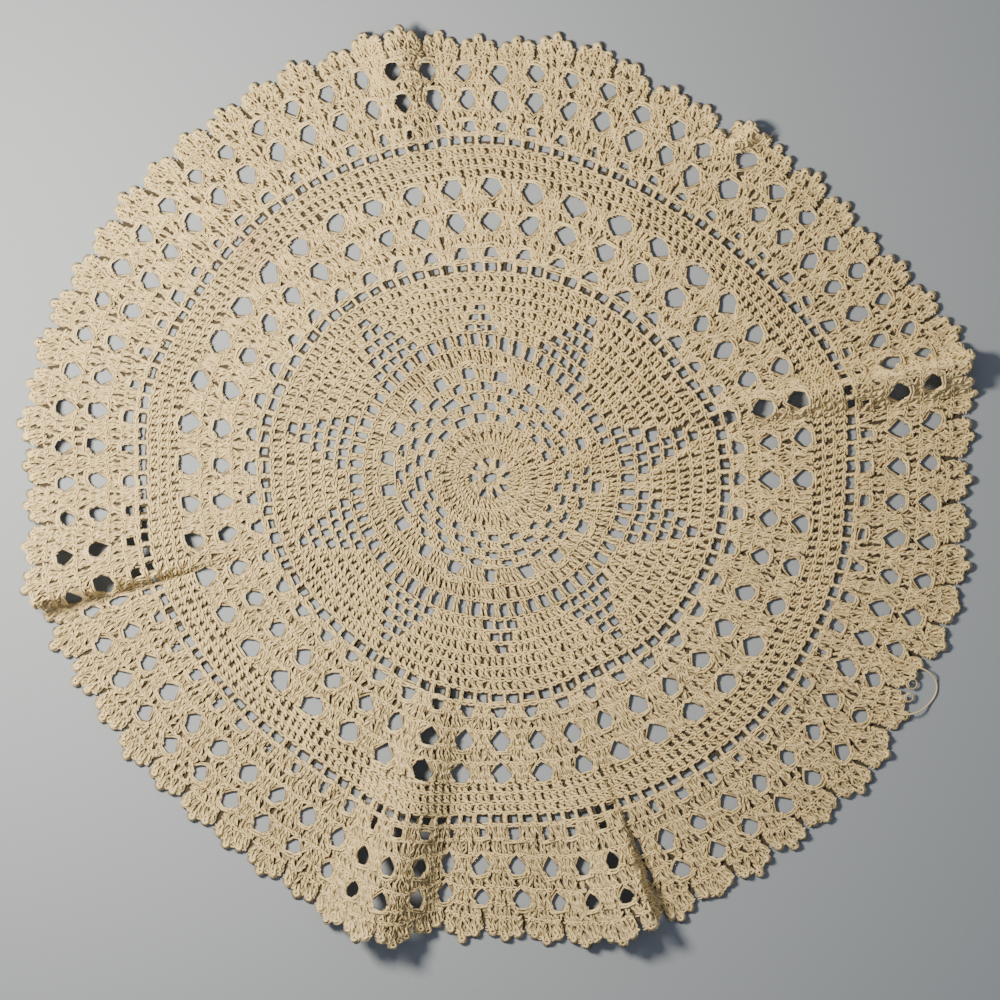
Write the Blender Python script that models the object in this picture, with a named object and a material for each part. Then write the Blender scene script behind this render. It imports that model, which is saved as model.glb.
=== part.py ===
"""A round crocheted lace doily lying on a table, with one snagged loop of thread at its rim.

The cloth is one thin sheet. Its rim has scallops of three picots, its shells and nets leave
gaps, and six soft folds lift it from the table. Tables are in millimetres and degrees, turns run
anticlockwise from +X, and the origin is the middle of the work on the table.
"""
import math
import random
from collections import namedtuple

import bmesh
import bpy
import numpy as np
from mathutils import Vector
from mathutils.geometry import delaunay_2d_cdt

MM = 0.001
FULL_TURN = 360.0

# Cloth and thread.
CLOTH_THICK = 1.8
STEEPEST_THICKENING = 2.2
THREAD_THICK = 0.6
YARN_COLOUR = (0.72, 0.56, 0.36, 1.0)
LOOP_COLOUR = (0.78, 0.66, 0.48, 1.0)

# What is worked into each round.
INNER_SHELLS = 45
OUTER_SHELLS = 72
TALL_GAPS = 18
FIRST_TALL_GAP = 21.0
TALL_GAP_SPACING = 19.46
TALL_GAP_WIDTH = 4.2

# Radii of the rounds, and how far their stitches have swung, at every 15 degrees of the work.
RING_STEP = 15
RING_COLUMNS = ("gap_foot", "gap_head", "inner_net", "outer_net", "picot_tip",
                "gap_swing", "inner_swing", "outer_swing")
RINGS = (
    (35.7, 40.3, 82.6, 126.4, 168.0, 3.0, -0.3, 1.7),
    (32.4, 36.4, 81.9, 128.8, 172.9, -0.5, -1.6, 0.8),
    (31.5, 35.7, 76.7, 122.2, 160.7, 1.0, -3.4, -0.9),
    (31.2, 35.4, 75.3, 116.9, 155.4, 3.2, -4.2, -0.5),
    (31.2, 35.4, 74.2, 114.8, 151.2, 6.0, -1.8, 1.3),
    (32.6, 37.5, 74.2, 115.5, 156.1, 5.0, 1.0, 3.0),
    (34.3, 39.6, 74.2, 118.7, 154.4, 3.5, 1.6, 3.5),
    (35.0, 40.3, 74.6, 118.7, 160.6, 1.5, 1.2, 2.5),
    (34.7, 40.3, 76.7, 120.4, 160.7, -0.5, 1.3, 3.2),
    (33.6, 39.2, 79.1, 121.1, 161.7, -1.5, 1.4, 4.4),
    (33.6, 39.6, 79.5, 121.5, 162.8, -3.3, 1.0, 5.0),
    (34.0, 39.6, 80.5, 123.9, 165.2, -5.8, 1.6, 5.3),
    (33.3, 39.2, 78.8, 121.5, 162.8, -8.0, 1.5, 5.4),
    (32.6, 38.9, 78.4, 122.5, 165.9, -9.0, -0.3, 3.3),
    (32.2, 38.2, 76.7, 119.7, 160.7, -8.0, -0.7, 3.8),
    (31.5, 37.1, 74.9, 118.0, 158.9, -7.4, -0.2, 5.8),
    (31.2, 36.8, 74.6, 117.6, 160.3, -6.6, 0.9, 7.1),
    (31.2, 36.8, 76.3, 122.2, 167.0, -5.5, 0.9, 4.6),
    (31.5, 37.5, 77.4, 119.4, 161.4, -4.2, 0.2, 4.0),
    (32.2, 38.2, 78.1, 121.8, 168.4, -3.0, 0.2, 2.9),
    (33.3, 38.5, 77.7, 123.9, 167.3, -2.2, -1.0, 1.1),
    (33.6, 38.9, 80.9, 126.4, 168.7, -1.8, -1.1, 1.8),
    (34.3, 39.6, 81.6, 126.4, 168.7, -0.6, -0.5, 2.1),
    (35.0, 39.9, 83.0, 127.1, 170.8, 2.5, -0.2, 1.3),
)

# Places where the rim reaches out or draws in between the rows above.
RimWave = namedtuple("RimWave", "turn half_width reach")
RIM_WAVES = tuple(RimWave(*row) for row in (
    (52.0, 2.8, 5.0),
    (56.0, 1.6, -5.0),
    (67.5, 5.0, -2.5),
    (82.5, 5.0, 1.6),
    (111.0, 4.0, -2.4),
    (127.0, 4.5, -1.3),
    (173.0, 6.0, 1.2),
    (186.0, 5.0, -1.4),
    (198.3, 2.5, -4.5),
    (203.5, 3.5, -2.0),
    (217.5, 6.0, 1.3),
    (245.0, 4.0, -1.6),
    (262.5, 5.0, -4.2),
    (291.3, 1.5, -5.5),
    (308.0, 3.5, -2.0),
    (322.5, 5.0, 2.8),
    (334.0, 4.8, -5.0),
))

# Each fold's ridge runs from its start to the rim. Its slopes differ on the two sides.
Fold = namedtuple("Fold", "start_radius start_turn rim_radius rim_turn rise before after")
FOLDS = {
    "right ridge": Fold(49.0, 18.5, 171.0, 13.2, 9.0, 11.0, 9.0),
    "top hump": Fold(105.0, 103.5, 160.0, 102.3, 7.0, 17.0, 15.0),
    "seam pleat": Fold(131.0, 55.0, 158.0, 52.3, 5.5, 7.0, 4.5),
    "left fold": Fold(75.0, 196.0, 165.0, 194.6, 12.5, 42.0, 6.5),
    "left swell": Fold(112.0, 174.0, 165.0, 173.0, 3.5, 20.0, 25.0),
    "bottom hump": Fold(52.0, 257.5, 165.0, 256.0, 13.0, 26.0, 23.0),
    "bottom pleat": Fold(100.0, 290.6, 168.0, 289.8, 10.0, 34.0, 4.5),
}
FOLD_START_WIDTH = 0.45
FOLD_LINES = (-1.0, -0.5, 0.0, 0.5, 1.0)
FOLD_LINE_START = 1.75
FOLD_LINE_STEP = 7.0

# Rounds of gaps: share of the way out from the net below to what lies above, and their size.
GapRow = namedtuple("GapRow", "share width height pointed")
INNER_GAP_ROWS = (
    GapRow(0.1, 4.4, 4.2, False),
    GapRow(0.345, 6.0, 6.4, True),
    GapRow(0.61, 7.0, 6.8, True),
)
OUTER_GAP_ROWS = (
    GapRow(0.44, 5.6, 6.6, True),
    GapRow(0.755, 5.4, 5.8, True),
)
ROW_DRIFT = 0.3
GAP_LEAN = 0.35
GAP_UNEVEN = 0.14
GAP_SHOULDER = 0.5
GAP_WAIST = 0.06

# One scallop: part of its turn, and how far inside the picot tips its edge lies.
ScallopEdge = namedtuple("ScallopEdge", "share inside")
SCALLOP = (
    ScallopEdge(0.0, 4.4),
    ScallopEdge(0.13, 1.2),
    ScallopEdge(0.24, 0.6),
    ScallopEdge(0.35, 2.4),
    ScallopEdge(0.44, -1.0),
    ScallopEdge(0.56, -1.0),
    ScallopEdge(0.65, 2.4),
    ScallopEdge(0.76, 0.6),
    ScallopEdge(0.87, 1.2),
)
SCALLOP_UNEVEN = 0.6
PICOT_REACH = 6.2

# Plain rounds that carry the cloth: radius, or share of the way from the tall gaps to the
# inner net, and the points in each.
CentreRound = namedtuple("CentreRound", "radius count")
CENTRE_ROUNDS = (CentreRound(6.0, 6), CentreRound(14.0, 10), CentreRound(22.0, 15), CentreRound(28.5, 20))
PetalRound = namedtuple("PetalRound", "share count")
PETAL_ROUNDS = (PetalRound(0.16, 20), PetalRound(0.5, 27), PetalRound(0.85, 36))
BAND_POINTS = 60
BAND_MIDDLE = 6.5
OUTER_FOOT = 0.02
CLEAR_OF_GAPS = 0.9
CLEAR_OF_RIM = 1.5
CLEAR_OF_POINTS = 2.4

# The snagged loop: route points with height, the first and last on the cloth.
LOOP_ROUTE = (
    (139.2, -61.2, 2.42),
    (142.8, -63.2, 2.42),
    (146.6, -64.9, 2.42),
    (150.6, -66.4, 2.6),
    (154.2, -68.4, 1.8),
    (156.2, -71.6, 0.5),
    (156.0, -75.4, 0.4),
    (153.6, -79.0, 0.5),
    (150.0, -81.6, 1.8),
    (146.2, -82.6, 2.5),
    (142.4, -82.2, 2.42),
    (138.8, -80.6, 2.42),
)
LOOP_POINTS_EACH = 3


def clear_scene():
    """Remove whatever the scene holds."""
    for thing in list(bpy.data.objects):
        bpy.data.objects.remove(thing, do_unlink=True)


def yarn_material(name, colour):
    """Plain matt cotton."""
    material = bpy.data.materials.new(name)
    material.use_nodes = True
    surface = material.node_tree.nodes["Principled BSDF"]
    surface.inputs["Base Color"].default_value = colour
    surface.inputs["Roughness"].default_value = 0.9
    return material


def ring_value(column, turn):
    """Read a column of RINGS at any turn, as a smooth closed curve."""
    values = np.array([row[RING_COLUMNS.index(column)] for row in RINGS])
    place = np.asarray(turn, dtype=float) % FULL_TURN / RING_STEP
    row = np.floor(place).astype(int)
    part = place - row
    a, b, c, d = (values[(row + shift) % len(RINGS)] for shift in (-1, 0, 1, 2))
    return b + 0.5 * part * (c - a + part * (2 * a - 5 * b + 4 * c - d + part * (3 * (b - c) + d - a)))


def soft_bump(distance):
    """One at 0, falling smoothly to nothing at 1."""
    near = np.clip(np.abs(distance), 0.0, 1.0)
    return 0.5 + 0.5 * np.cos(math.pi * near)


def picot_tip(turn):
    """How far out the picots reach."""
    reach = ring_value("picot_tip", turn)
    for wave in RIM_WAVES:
        apart = (turn - wave.turn + 180.0) % FULL_TURN - 180.0
        reach = reach + wave.reach * soft_bump(apart / wave.half_width)
    return reach


def polar(radius, turn):
    """Plan place of a radius and a turn."""
    angle = np.radians(turn)
    return np.array([radius * np.cos(angle), radius * np.sin(angle)])


def fold_line(fold):
    """Start, direction and length of a fold's ridge in plan."""
    start = polar(fold.start_radius, fold.start_turn)
    along = polar(fold.rim_radius, fold.rim_turn) - start
    length = np.hypot(*along)
    return start, along / length, length


def cloth_height(x, y):
    """Height of the cloth's underside over the table."""
    height = np.zeros_like(np.asarray(x, dtype=float))
    for fold in FOLDS.values():
        start, along, length = fold_line(fold)
        run = ((x - start[0]) * along[0] + (y - start[1]) * along[1]) / length
        side = (y - start[1]) * along[0] - (x - start[0]) * along[1]
        run = np.clip(run, 0.0, 1.0)
        widening = FOLD_START_WIDTH + (1.0 - FOLD_START_WIDTH) * run
        width = np.where(side < 0.0, fold.before, fold.after) * widening
        height = height + fold.rise * run * run * (3.0 - 2.0 * run) * soft_bump(side / width)
    return height


def cloth_top(x, y):
    """Height of the upper side, the cloth keeping its thickness on the slopes."""
    step = 0.2
    slope_x = (cloth_height(x + step, y) - cloth_height(x - step, y)) / (2 * step)
    slope_y = (cloth_height(x, y + step) - cloth_height(x, y - step)) / (2 * step)
    steepness = np.sqrt(1.0 + slope_x ** 2 + slope_y ** 2)
    return cloth_height(x, y) + CLOTH_THICK * np.minimum(steepness, STEEPEST_THICKENING)


def stitch_turns(reach, swing):
    """Turn of each stitch of a round, evenly spaced along the cloth as it rises and falls."""
    turns = np.arange(0.0, FULL_TURN + 0.25, 0.25)
    radius = reach(turns)
    x, y = polar(radius, turns)
    z = cloth_height(x, y)
    steps = np.sqrt(np.diff(x) ** 2 + np.diff(y) ** 2 + np.diff(z) ** 2)
    worked = np.concatenate([[0.0], np.cumsum(steps)])
    worked *= FULL_TURN / worked[-1]
    rows = np.arange(0, FULL_TURN, RING_STEP)
    lying = np.interp(rows, worked, turns)
    pull = rows + ring_value(swing, rows) - lying
    pull = np.append(pull, pull[0])

    def turn_of(stitch):
        stitch = np.asarray(stitch, dtype=float)
        laps = np.floor(stitch / FULL_TURN)
        place = stitch - laps * FULL_TURN
        moved = np.interp(place, np.append(rows, FULL_TURN), pull)
        return np.interp(place, worked, turns) + moved + laps * FULL_TURN

    return turn_of


def gap_outline(middle_turn, half_turn, middle_radius, height, pointed, uneven):
    """Corners of one gap between stitches: five where two shells meet below, else four."""
    lean = uneven.uniform(-GAP_LEAN, GAP_LEAN) * half_turn
    size = 1.0 + uneven.uniform(-GAP_UNEVEN, GAP_UNEVEN)
    half = half_turn * size
    low = middle_radius - 0.5 * height * size
    high = middle_radius + 0.5 * height * size
    shoulder = GAP_SHOULDER * half
    top_corners = [(shoulder + lean, high), (-shoulder + lean, high)]
    if pointed:
        waist = middle_radius - GAP_WAIST * height
        corners = [(-half, waist), (0.0, low), (half, waist)] + top_corners
    else:
        corners = [(-half, low), (half, low)] + top_corners
    return [polar(radius, middle_turn + turn) for turn, radius in reversed(corners)]


def round_of_gaps(count, start, reach, swing, row, uneven):
    """All the gaps of one round of shells."""
    turn_of = stitch_turns(reach, swing)
    gaps = []
    for number in range(count):
        stitch = start + number * FULL_TURN / count
        turn = float(turn_of(stitch))
        radius = float(reach(turn))
        half_stitch = math.degrees(0.5 * row.width / radius)
        half_turn = 0.5 * float(turn_of(stitch + half_stitch) - turn_of(stitch - half_stitch))
        gaps.append(gap_outline(turn, half_turn, radius, row.height, row.pointed, uneven))
    return gaps


def tall_gaps(uneven):
    """The gaps in the last of the spiral rounds round the middle."""
    gaps = []
    for number in range(TALL_GAPS):
        stitch = FIRST_TALL_GAP + number * TALL_GAP_SPACING
        turn = stitch + float(ring_value("gap_swing", stitch))
        foot = float(ring_value("gap_foot", turn))
        head = float(ring_value("gap_head", turn))
        middle = 0.5 * (foot + head)
        half_turn = math.degrees(0.5 * TALL_GAP_WIDTH / middle)
        gaps.append(gap_outline(turn, half_turn, middle, head - foot, False, uneven))
    return gaps


def inner_reach(share):
    """Radius of a round part of the way from the inner net to the outer net."""
    return lambda turn: (ring_value("inner_net", turn) * (1.0 - share)
                         + ring_value("outer_net", turn) * share)


def outer_reach(share):
    """Radius of a round part of the way from the outer net to the scallops' foot."""
    return lambda turn: (ring_value("outer_net", turn) * (1.0 - share)
                         + (picot_tip(turn) - PICOT_REACH) * share)


def cloth_gaps():
    """Every gap that is cut through the cloth."""
    uneven = random.Random(12)
    gaps = tall_gaps(uneven)
    for row in INNER_GAP_ROWS:
        gaps += round_of_gaps(INNER_SHELLS, 0.0, inner_reach(row.share), "inner_swing", row, uneven)
    for number, row in enumerate(OUTER_GAP_ROWS):
        gaps += round_of_gaps(OUTER_SHELLS, number * ROW_DRIFT, outer_reach(row.share),
                              "outer_swing", row, uneven)
    return gaps


def rim_outline():
    """The scalloped edge, three picots to a scallop."""
    turn_of = stitch_turns(outer_reach(0.95), "outer_swing")
    uneven = random.Random(5)
    corners = []
    for number in range(OUTER_SHELLS):
        stretch = uneven.uniform(-SCALLOP_UNEVEN, SCALLOP_UNEVEN)
        for edge in SCALLOP:
            stitch = (number + edge.share) * FULL_TURN / OUTER_SHELLS + 2 * ROW_DRIFT
            turn = float(turn_of(stitch))
            corners.append(polar(float(picot_tip(turn)) - edge.inside + stretch, turn))
    return corners


def plain_points():
    """Points that carry the cloth between its gaps."""
    points = [np.zeros(2)]
    for ring in CENTRE_ROUNDS:
        points += [polar(ring.radius, FULL_TURN * step / ring.count) for step in range(ring.count)]
    for ring in PETAL_ROUNDS:
        for step in range(ring.count):
            turn = FULL_TURN * (step + 0.5 * ring.share) / ring.count
            head = ring_value("gap_head", turn)
            points.append(polar(head + ring.share * (ring_value("inner_net", turn) - head), turn))
    for step in range(BAND_POINTS):
        turn = FULL_TURN * step / BAND_POINTS
        points.append(polar(ring_value("outer_net", turn) - BAND_MIDDLE, turn))
    inner_rows = [inner_reach(row.share) for row in INNER_GAP_ROWS]
    points += between_shells(INNER_SHELLS, inner_rows, "inner_swing")
    outer_rows = [outer_reach(share) for share in (OUTER_FOOT, *(row.share for row in OUTER_GAP_ROWS))]
    return points + between_shells(OUTER_SHELLS, outer_rows, "outer_swing")


def between_shells(count, rows, swing):
    """Points halfway between the gaps of each row."""
    turn_of = stitch_turns(rows[1], swing)
    turns = [float(turn_of((number + 0.5) * FULL_TURN / count)) for number in range(count)]
    return [polar(reach(turn), turn) for turn in turns for reach in rows]


def fold_points():
    """Points along each fold's ridge, flanks and feet."""
    points = []
    for fold in FOLDS.values():
        start, along, length = fold_line(fold)
        across = np.array([-along[1], along[0]])
        for run in np.arange(FOLD_LINE_START, length, FOLD_LINE_STEP):
            widening = FOLD_START_WIDTH + (1.0 - FOLD_START_WIDTH) * run / length
            for line in FOLD_LINES:
                width = (fold.before if line < 0.0 else fold.after) * widening
                points.append(start + along * run + across * width * line)
    return points


def keep_clear(points, gaps):
    """Drop points too near a gap, the rim or one another."""
    middles = np.array([np.mean(gap, axis=0) for gap in gaps])
    sizes = np.array([np.max(np.hypot(*(np.array(gap) - np.mean(gap, axis=0)).T)) for gap in gaps])
    kept = []
    for point in points:
        radius = np.hypot(*point)
        turn = math.degrees(math.atan2(point[1], point[0]))
        if radius > picot_tip(turn) - PICOT_REACH - CLEAR_OF_RIM:
            continue
        if np.any(np.hypot(*(middles - point).T) < sizes + CLEAR_OF_GAPS):
            continue
        if kept and np.min(np.hypot(*(np.array(kept) - point).T)) < CLEAR_OF_POINTS:
            continue
        kept.append(point)
    return kept


def flat_cloth():
    """Flat faces of the cloth: its outline less its gaps."""
    gaps = cloth_gaps()
    loops = [rim_outline()] + gaps
    corners = [Vector(corner) for loop in loops for corner in loop]
    faces = []
    first = 0
    for loop in loops:
        faces.append(list(range(first, first + len(loop))))
        first += len(loop)
    corners += [Vector(point) for point in keep_clear(fold_points() + plain_points(), gaps)]
    points, _, triangles, _, _, owners = delaunay_2d_cdt(corners, [], faces, 0, 1e-4)
    cloth = [face for face, owner in zip(triangles, owners) if owner == [0]]
    return points, cloth


def doily():
    """The cloth, thickened and laid over its folds."""
    points, faces = flat_cloth()
    shape = bmesh.new()
    used = sorted({corner for face in faces for corner in face})
    corners = {index: shape.verts.new((points[index].x, points[index].y, 0.0)) for index in used}
    for face in faces:
        shape.faces.new([corners[index] for index in face])
    bmesh.ops.recalc_face_normals(shape, faces=shape.faces)
    if sum(face.normal.z for face in shape.faces) > 0.0:
        bmesh.ops.reverse_faces(shape, faces=shape.faces)
    under = list(shape.verts)
    copied = bmesh.ops.extrude_face_region(shape, geom=list(shape.faces), use_keep_orig=True)
    top = [item for item in copied["geom"] if isinstance(item, bmesh.types.BMVert)]
    for corner in under:
        corner.co.z = float(cloth_height(corner.co.x, corner.co.y))
    for corner in top:
        corner.co.z = float(cloth_top(corner.co.x, corner.co.y))
    bmesh.ops.recalc_face_normals(shape, faces=shape.faces)
    bmesh.ops.scale(shape, vec=(MM, MM, MM), verts=shape.verts)
    mesh = bpy.data.meshes.new("doily")
    shape.to_mesh(mesh)
    shape.free()
    mesh.materials.append(yarn_material("ecru cotton", YARN_COLOUR))
    cloth = bpy.data.objects.new("doily", mesh)
    bpy.context.collection.objects.link(cloth)
    return cloth


def smooth_route(route, each):
    """Points along a smooth curve through a route's own points."""
    ends = [2 * route[0] - route[1]] + route + [2 * route[-1] - route[-2]]
    points = []
    for a, b, c, d in zip(ends, ends[1:], ends[2:], ends[3:]):
        for step in range(each):
            part = step / each
            points.append(b + 0.5 * part * (c - a + part * (2 * a - 5 * b + 4 * c - d
                                                            + part * (3 * (b - c) + d - a))))
    return points + [route[-1]]


def loose_thread():
    """The snagged loop that lies past the rim on the table."""
    route = [Vector(place) for place in LOOP_ROUTE]
    points = smooth_route(route, LOOP_POINTS_EACH)
    curve = bpy.data.curves.new("loose_thread", "CURVE")
    curve.dimensions = "3D"
    curve.bevel_depth = 0.5 * THREAD_THICK * MM
    curve.bevel_resolution = 2
    curve.use_fill_caps = True
    spline = curve.splines.new("POLY")
    spline.points.add(len(points) - 1)
    for place, point in zip(spline.points, points):
        place.co = (*(point * MM), 1.0)
    curve.materials.append(yarn_material("loose cotton", LOOP_COLOUR))
    thread = bpy.data.objects.new("loose_thread", curve)
    bpy.context.collection.objects.link(thread)
    return thread


clear_scene()
doily()
loose_thread()
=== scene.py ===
"""A round crocheted lace doily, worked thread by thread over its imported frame.

Lengths in the tables are millimetres and angles are degrees. Turns run anticlockwise from +X, and
the middle of the work is the origin. A strand is a row of places, each a radius, a turn and a
lift off the cloth's underside, and lay() puts it on the folded cloth.
"""

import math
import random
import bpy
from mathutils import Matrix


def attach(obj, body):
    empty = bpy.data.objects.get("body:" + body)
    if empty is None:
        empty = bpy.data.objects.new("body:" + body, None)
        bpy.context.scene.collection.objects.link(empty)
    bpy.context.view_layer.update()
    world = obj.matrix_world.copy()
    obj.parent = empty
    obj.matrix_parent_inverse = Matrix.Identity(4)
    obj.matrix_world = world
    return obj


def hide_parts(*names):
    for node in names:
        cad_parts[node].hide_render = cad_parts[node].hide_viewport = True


bl_info = {
    "name": "Crocheted Lace Doily",
    "version": (1, 0, 0),
    "blender": (4, 5, 0),
    "location": "View3D > Sidebar > Doily",
    "description": "Works a crocheted doily with its shells, nets, picots and one snagged loop",
    "category": "Object",
}

from collections import namedtuple

import bmesh
import bpy
import numpy as np
from bpy.props import FloatProperty, FloatVectorProperty, PointerProperty
from mathutils import Vector
from mathutils.geometry import delaunay_2d_cdt

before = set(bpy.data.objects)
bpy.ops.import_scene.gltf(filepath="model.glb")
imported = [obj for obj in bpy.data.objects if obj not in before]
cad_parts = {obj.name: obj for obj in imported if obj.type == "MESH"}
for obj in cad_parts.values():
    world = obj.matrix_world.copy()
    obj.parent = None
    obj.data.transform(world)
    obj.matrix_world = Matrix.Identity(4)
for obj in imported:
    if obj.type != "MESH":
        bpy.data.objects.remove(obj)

MM = 0.001
FULL_TURN = 360.0

# Where the random draws of the gaps, the rim and the threads' swelling start, so that the work
# comes out the same each time.
CLOTH_SEED = 12
NET_SEED = 7
MESH_SEED = 9
PETAL_SEED = 21
HOLE_SEED = 3
RIM_SEED = 5
SWELL_SEED = 100

# ---------------------------------------------------------------- the doily's own sizes

# What is worked into each round.
INNER_SHELLS = 45
OUTER_SHELLS = 72
TALL_GAPS = 18
FIRST_TALL_GAP = 21.0
TALL_GAP_SPACING = 19.46
TALL_GAP_WIDTH = 4.2

# Radii of the rounds, and how far their stitches have swung, at every 15 degrees of the work.
RING_STEP = 15
Ring = namedtuple("Ring", "gap_foot gap_head inner_net outer_net picot_tip"
                          " gap_swing inner_swing outer_swing")
RINGS = tuple(Ring(*row) for row in (
    (35.7, 40.3, 82.6, 126.4, 168.0, 3.0, -0.3, 1.7),
    (32.4, 36.4, 81.9, 128.8, 172.9, -0.5, -1.6, 0.8),
    (31.5, 35.7, 76.7, 122.2, 160.7, 1.0, -3.4, -0.9),
    (31.2, 35.4, 75.3, 116.9, 155.4, 3.2, -4.2, -0.5),
    (31.2, 35.4, 74.2, 114.8, 151.2, 6.0, -1.8, 1.3),
    (32.6, 37.5, 74.2, 115.5, 156.1, 5.0, 1.0, 3.0),
    (34.3, 39.6, 74.2, 118.7, 154.4, 3.5, 1.6, 3.5),
    (35.0, 40.3, 74.6, 118.7, 160.6, 1.5, 1.2, 2.5),
    (34.7, 40.3, 76.7, 120.4, 160.7, -0.5, 1.3, 3.2),
    (33.6, 39.2, 79.1, 121.1, 161.7, -1.5, 1.4, 4.4),
    (33.6, 39.6, 79.5, 121.5, 162.8, -3.3, 1.0, 5.0),
    (34.0, 39.6, 80.5, 123.9, 165.2, -5.8, 1.6, 5.3),
    (33.3, 39.2, 78.8, 121.5, 162.8, -8.0, 1.5, 5.4),
    (32.6, 38.9, 78.4, 122.5, 165.9, -9.0, -0.3, 3.3),
    (32.2, 38.2, 76.7, 119.7, 160.7, -8.0, -0.7, 3.8),
    (31.5, 37.1, 74.9, 118.0, 158.9, -7.4, -0.2, 5.8),
    (31.2, 36.8, 74.6, 117.6, 160.3, -6.6, 0.9, 7.1),
    (31.2, 36.8, 76.3, 122.2, 167.0, -5.5, 0.9, 4.6),
    (31.5, 37.5, 77.4, 119.4, 161.4, -4.2, 0.2, 4.0),
    (32.2, 38.2, 78.1, 121.8, 168.4, -3.0, 0.2, 2.9),
    (33.3, 38.5, 77.7, 123.9, 167.3, -2.2, -1.0, 1.1),
    (33.6, 38.9, 80.9, 126.4, 168.7, -1.8, -1.1, 1.8),
    (34.3, 39.6, 81.6, 126.4, 168.7, -0.6, -0.5, 2.1),
    (35.0, 39.9, 83.0, 127.1, 170.8, 2.5, -0.2, 1.3),
))

# Places where the rim reaches out or draws in between the rows above.
RimWave = namedtuple("RimWave", "turn half_width reach")
RIM_WAVES = tuple(RimWave(*row) for row in (
    (52.0, 2.8, 5.0),
    (56.0, 1.6, -5.0),
    (67.5, 5.0, -2.5),
    (82.5, 5.0, 1.6),
    (111.0, 4.0, -2.4),
    (127.0, 4.5, -1.3),
    (173.0, 6.0, 1.2),
    (186.0, 5.0, -1.4),
    (198.3, 2.5, -4.5),
    (203.5, 3.5, -2.0),
    (217.5, 6.0, 1.3),
    (245.0, 4.0, -1.6),
    (262.5, 5.0, -4.2),
    (291.3, 1.5, -5.5),
    (308.0, 3.5, -2.0),
    (322.5, 5.0, 2.8),
    (334.0, 4.8, -5.0),
))

# Each fold's ridge runs from its start to the rim. Its slopes differ on the two sides.
Fold = namedtuple("Fold", "start_radius start_turn rim_radius rim_turn rise before after")
FOLDS = (
    Fold(49.0, 18.5, 171.0, 13.2, 9.0, 11.0, 9.0),  # right ridge
    Fold(105.0, 103.5, 160.0, 102.3, 7.0, 17.0, 15.0),  # top hump
    Fold(131.0, 55.0, 158.0, 52.3, 5.5, 7.0, 4.5),  # seam pleat
    Fold(75.0, 196.0, 165.0, 194.6, 12.5, 42.0, 6.5),  # left fold
    Fold(112.0, 174.0, 165.0, 173.0, 3.5, 20.0, 25.0),  # left swell
    Fold(52.0, 257.5, 165.0, 256.0, 13.0, 26.0, 23.0),  # bottom hump
    Fold(100.0, 290.6, 168.0, 289.8, 10.0, 34.0, 4.5),  # bottom pleat
)
FOLD_START_WIDTH = 0.45

# Rounds of gaps: share of the way out from the net below to what lies above, and their size.
GapRow = namedtuple("GapRow", "share width height pointed")
INNER_GAP_ROWS = (
    GapRow(0.1, 4.4, 4.2, False),
    GapRow(0.345, 6.0, 6.4, True),
    GapRow(0.61, 7.0, 6.8, True),
)
OUTER_GAP_ROWS = (
    GapRow(0.44, 5.6, 6.6, True),
    GapRow(0.755, 5.4, 5.8, True),
)
ROW_DRIFT = 0.3
GAP_LEAN = 0.35
GAP_UNEVEN = 0.14
GAP_SHOULDER = 0.5
GAP_WAIST = 0.06
SCALLOP_UNEVEN = 0.6
PICOT_REACH = 6.2

# Borders of the spiral rounds round the middle, at every 30 degrees from the seam: the first
# border, the foot and head of the tall gaps, the head of the plain round and of the mesh.
SEAM_TURN = 15.0
SEAM_CLEAR = 5.0
SEAM_ENDS = (0.001, 0.999)
SPIRAL_STEP = 30.0
SpiralRow = namedtuple("SpiralRow", "first foot head plain mesh")
SPIRAL = tuple(SpiralRow(*row) for row in (
    (19.6, 32.4, 36.4, 40.3, 45.2),
    (19.6, 31.2, 35.4, 39.6, 44.8),
    (19.6, 32.6, 37.5, 42.7, 49.0),
    (19.7, 35.0, 40.3, 46.9, 52.5),
    (20.1, 33.6, 39.2, 45.2, 50.8),
    (20.1, 34.0, 39.6, 44.8, 50.4),
    (19.6, 32.6, 38.9, 44.1, 49.7),
    (19.1, 31.5, 37.1, 44.1, 50.1),
    (18.9, 31.2, 36.8, 43.1, 49.4),
    (20.3, 32.2, 38.2, 44.1, 50.1),
    (21.7, 33.6, 38.9, 44.5, 50.8),
    (22.4, 35.0, 39.9, 45.5, 52.2),
    (23.1, 36.1, 40.3, 45.5, 51.5),
))

# The laps of the spiral: blocks, then one lap each of fans, plain stitches and mesh.
BLOCK_LAPS = 4
FAN_LAP = BLOCK_LAPS
MESH_LAP = BLOCK_LAPS + 2
LAPS = BLOCK_LAPS + 3
BLOCK_STITCHES = 4
FAN_STITCHES = 6
PLAIN_STITCHES = 150
MESH_SQUARES = 60
MESH_SQUARE_WIDTH = 1.9
MESH_SQUARE_SHARE = 0.62
BLOCK_LOOPS = 1.3

# The blocks' gaps: size in millimetres, and in shares of their lap, and how much they differ.
BLOCK_GAP_WIDTH = 3.3
BLOCK_GAP_SHARE = 0.76
BLOCK_GAP_MOST = 0.86
BLOCK_GAP_STRAY = 0.2
BLOCK_SHOULDERS = (0.45, 0.95)
OPEN_SIDE = 150.0
OPEN_SWELL = 0.2
OPEN_UNEVEN = 0.25
OPEN_BASE = 0.3
SPIRAL_UNEVEN = 0.3

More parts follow.
